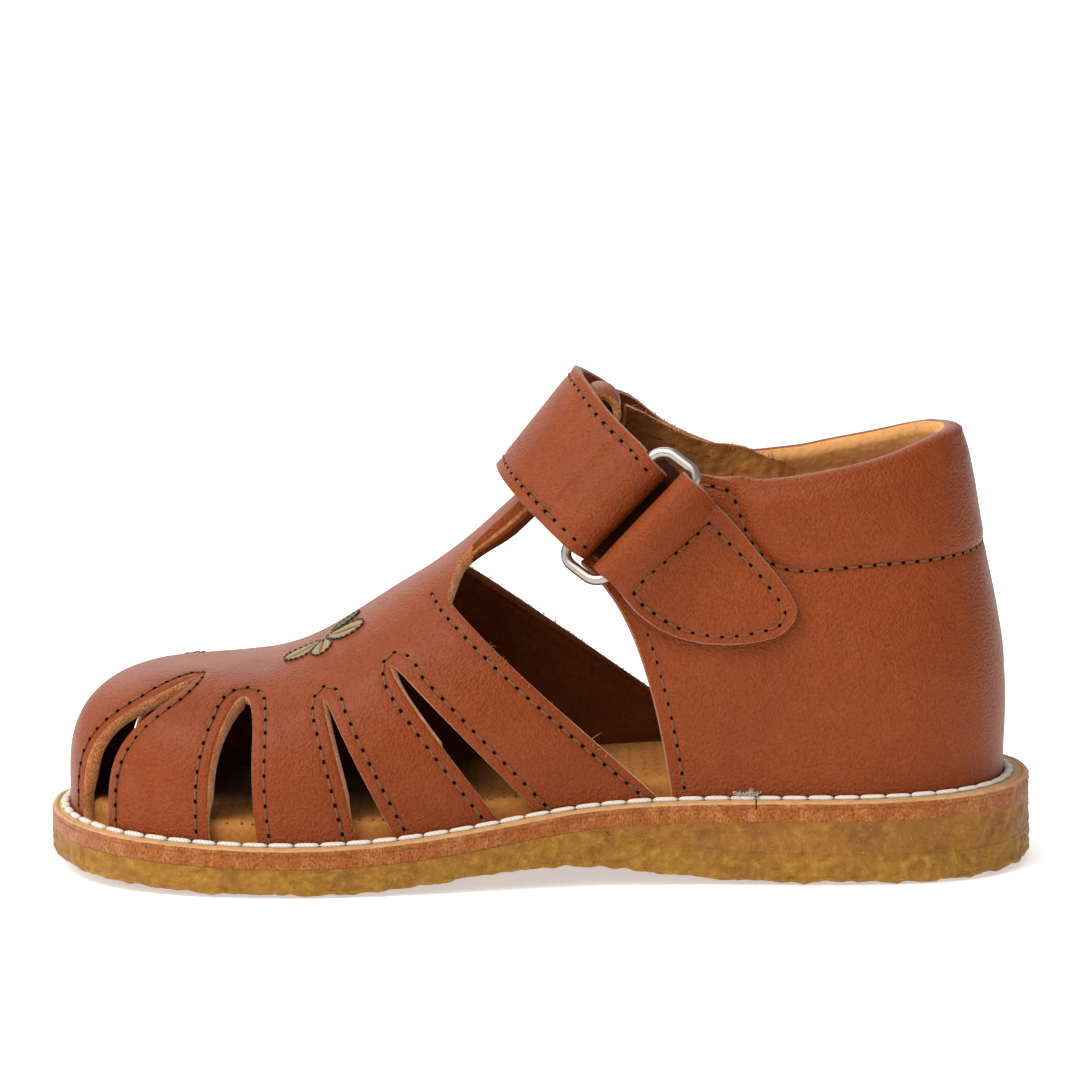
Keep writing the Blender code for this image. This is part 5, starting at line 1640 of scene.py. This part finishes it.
# sprig on the vamp: leaves as base and tip (x, distance from the crown line), half width
sprigLeaves = {
    "beige": (
        (-35.1, 7.3, -28.9, 11.2, 2.3), (-35.8, 7.7, -41.8, 11.0, 2.3), (-35.4, 8.4, -36.0, 13.9, 1.75),
    ),
    "green": ((-34.2, 6.1, -29.8, 1.8, 1.5),),
}
sprigColours = {
    "beige": ("#b9a078", "#8f7850"),
    "green": ("#6c7a30", "#4c5a20"),
    "brown": ("#33200f", "#20130a"),
}


def besideCrown(flat):
    # points of the outer vamp and their normals from x and the distance to the crown line
    share = shareAtX(outer, flat[:, 0])
    climb = climbBeside(outer, share, flat[:, 1])
    return last(outer, share, climb), outward(outer, share, climb)


def makeSprig():
    # satin stitches slant from each leaf's middle line to its edge, half width * sin^0.8
    # back stitches go round the leaf
    outlines = []
    for colour, leaves in sprigLeaves.items():
        starts, ends = [], []
        for leaf in np.array(leaves):
            base, tip, half = leaf[:2], leaf[2:4], leaf[4]
            run = tip - base
            beside = np.array([-run[1], run[0]]) / np.linalg.norm(run)
            u = np.linspace(0.04, 0.96, int(np.linalg.norm(run) / 0.3))[:, None]
            wide = half * np.sin(np.pi * u) ** 0.8
            for way in (-1, 1):
                starts.append(base + run * u)
                ends.append(base + run * (u + 0.1 * np.sin(np.pi * u)) + way * beside * wide)
            edge = np.vstack([ends[-2], tip[None], ends[-1][::-1], base[None], ends[-2][:1]])
            outlines.append(evenly(np.column_stack([edge, np.zeros(len(edge))]), 0.9)[:, :2])
        (a, upA), (b, upB) = besideCrown(np.vstack(starts)), besideCrown(np.vstack(ends))
        thread = threadMaterial(colour + "EmbroideryThread", *sprigColours[colour], 0.6)
        fit(addPiece(colour + "SprigStitches", *stitchTubes(a, b, upA, upB, -0.1, 0.2, 0.17), [thread]))
    a, upA = besideCrown(np.vstack([line[:-1] for line in outlines]))
    b, upB = besideCrown(np.vstack([line[1:] for line in outlines]))
    thread = threadMaterial("brownEmbroideryThread", *sprigColours["brown"], 0.6)
    fit(addPiece("brownSprigStitches", *stitchTubes(a, b, upA, upB, -0.05, 0.25, 0.19), [thread]))


makeSprig()


def makeSeams():
    # a thread from each hole to the next, and in each hole a pit with an oval rim, painted near-black as
    # shade
    parts = (slice(None, -1), slice(1, None))
    links = [np.vstack([row[k][part] for row in seamRows]) for k in (0, 1) for part in parts]
    threads = stitchTubes(*links, seamSize["sink"], seamSize["arch"], seamSize["thread"])
    fit(addPiece("seamThreads", *threads, [seamThread]))
    centre, normal = (np.vstack([row[k] for row in seamRows]) for k in (0, 1))
    along = np.vstack([np.gradient(place, axis=0) for place, _ in seamRows])
    first = unit(along - normal * np.sum(along * normal, axis=1, keepdims=True))
    second = np.cross(normal, first)
    turn = np.linspace(0.0, 2 * np.pi, 11)[:-1, None]
    rim = seamSize["holeLong"] * first[:, None] * np.cos(turn)
    rim = rim + seamSize["holeShort"] * second[:, None] * np.sin(turn)
    lid = centre[:, None] + rim - normal[:, None] * 0.3
    pit = centre[:, None] + rim * 0.75 - normal[:, None] * 0.07
    rows = np.stack([np.repeat(centre[:, None] - normal[:, None] * 0.04, 10, axis=1), pit, lid], axis=1)
    points, faces, _ = manyTubes(rows)
    fit(addPiece("needleHoles", points, faces, [needleHoleShade]))


makeSeams()
print("seams done")


# floor, light and view: half the floor, its glow, room light, sun and the spread that softens it
stageSize = {
    "floorHalf": 14.0, "floorGlow": 0.5, "room": 0.38, "sun": 2.7, "sunSpread": 75.0, "aimHeight": 0.04,
}
# soft boxes: watts, side in metres, place
softBoxes = {
    "softBoxBehind": (4.0, 1.2, (-0.35, 0.95, 0.8)),
    "softBoxAbove": (6.0, 0.45, (-0.55, -0.45, 1.0)),
    "whiteWallBehind": (9.0, 1.7, (-0.2, 2.5, 1.0)),
}


def addLamp(name, kind, power, direction):
    # light shining along the direction
    lamp = bpy.data.lights.new(name, kind)
    lamp.energy = power
    holder = bpy.data.objects.new(name, lamp)
    holder.rotation_euler = Vector(direction).to_track_quat("-Z", "Y").to_euler()
    bpy.context.scene.collection.objects.link(holder)
    return lamp, holder


def makeStage():
    # white floor, even room light, a wide sun and the soft boxes
    s, scene = stageSize, bpy.context.scene
    corners = [(x * s["floorHalf"], y * s["floorHalf"], 0) for x, y in ((-1, -1), (1, -1), (1, 1), (-1, 1))]
    mesh = bpy.data.meshes.new("floor")
    mesh.from_pydata(corners, [], [(0, 1, 2, 3)])
    # a light table keeps the shadow faint
    glow = {"Emission_Color": (1.0, 1.0, 1.0, 1.0), "Emission_Strength": s["floorGlow"]}
    mesh.materials.append(newMaterial("whiteFloor", Base_Color=linear("#e6e5e3"), Roughness=0.9, **glow)[0])
    floor = bpy.data.objects.new("floor", mesh)
    scene.collection.objects.link(floor)
    world = bpy.data.worlds.new("softRoom")
    world.use_nodes = True
    room = world.node_tree.nodes["Background"].inputs
    room["Color"].default_value = (1.0, 1.0, 1.0, 1.0)
    room["Strength"].default_value = s["room"]
    scene.world = world
    sun, _ = addLamp("softSky", "SUN", s["sun"], (0.6, 0.5, -1.0))
    sun.angle = math.radians(s["sunSpread"])
    for name, (power, width, place) in softBoxes.items():
        lamp, box = addLamp(name, "AREA", power, Vector((0, 0, s["aimHeight"])) - Vector(place))
        lamp.size = width
        box.location = place
    scene.view_settings.view_transform = "Standard"

makeStage()
print("scene done")
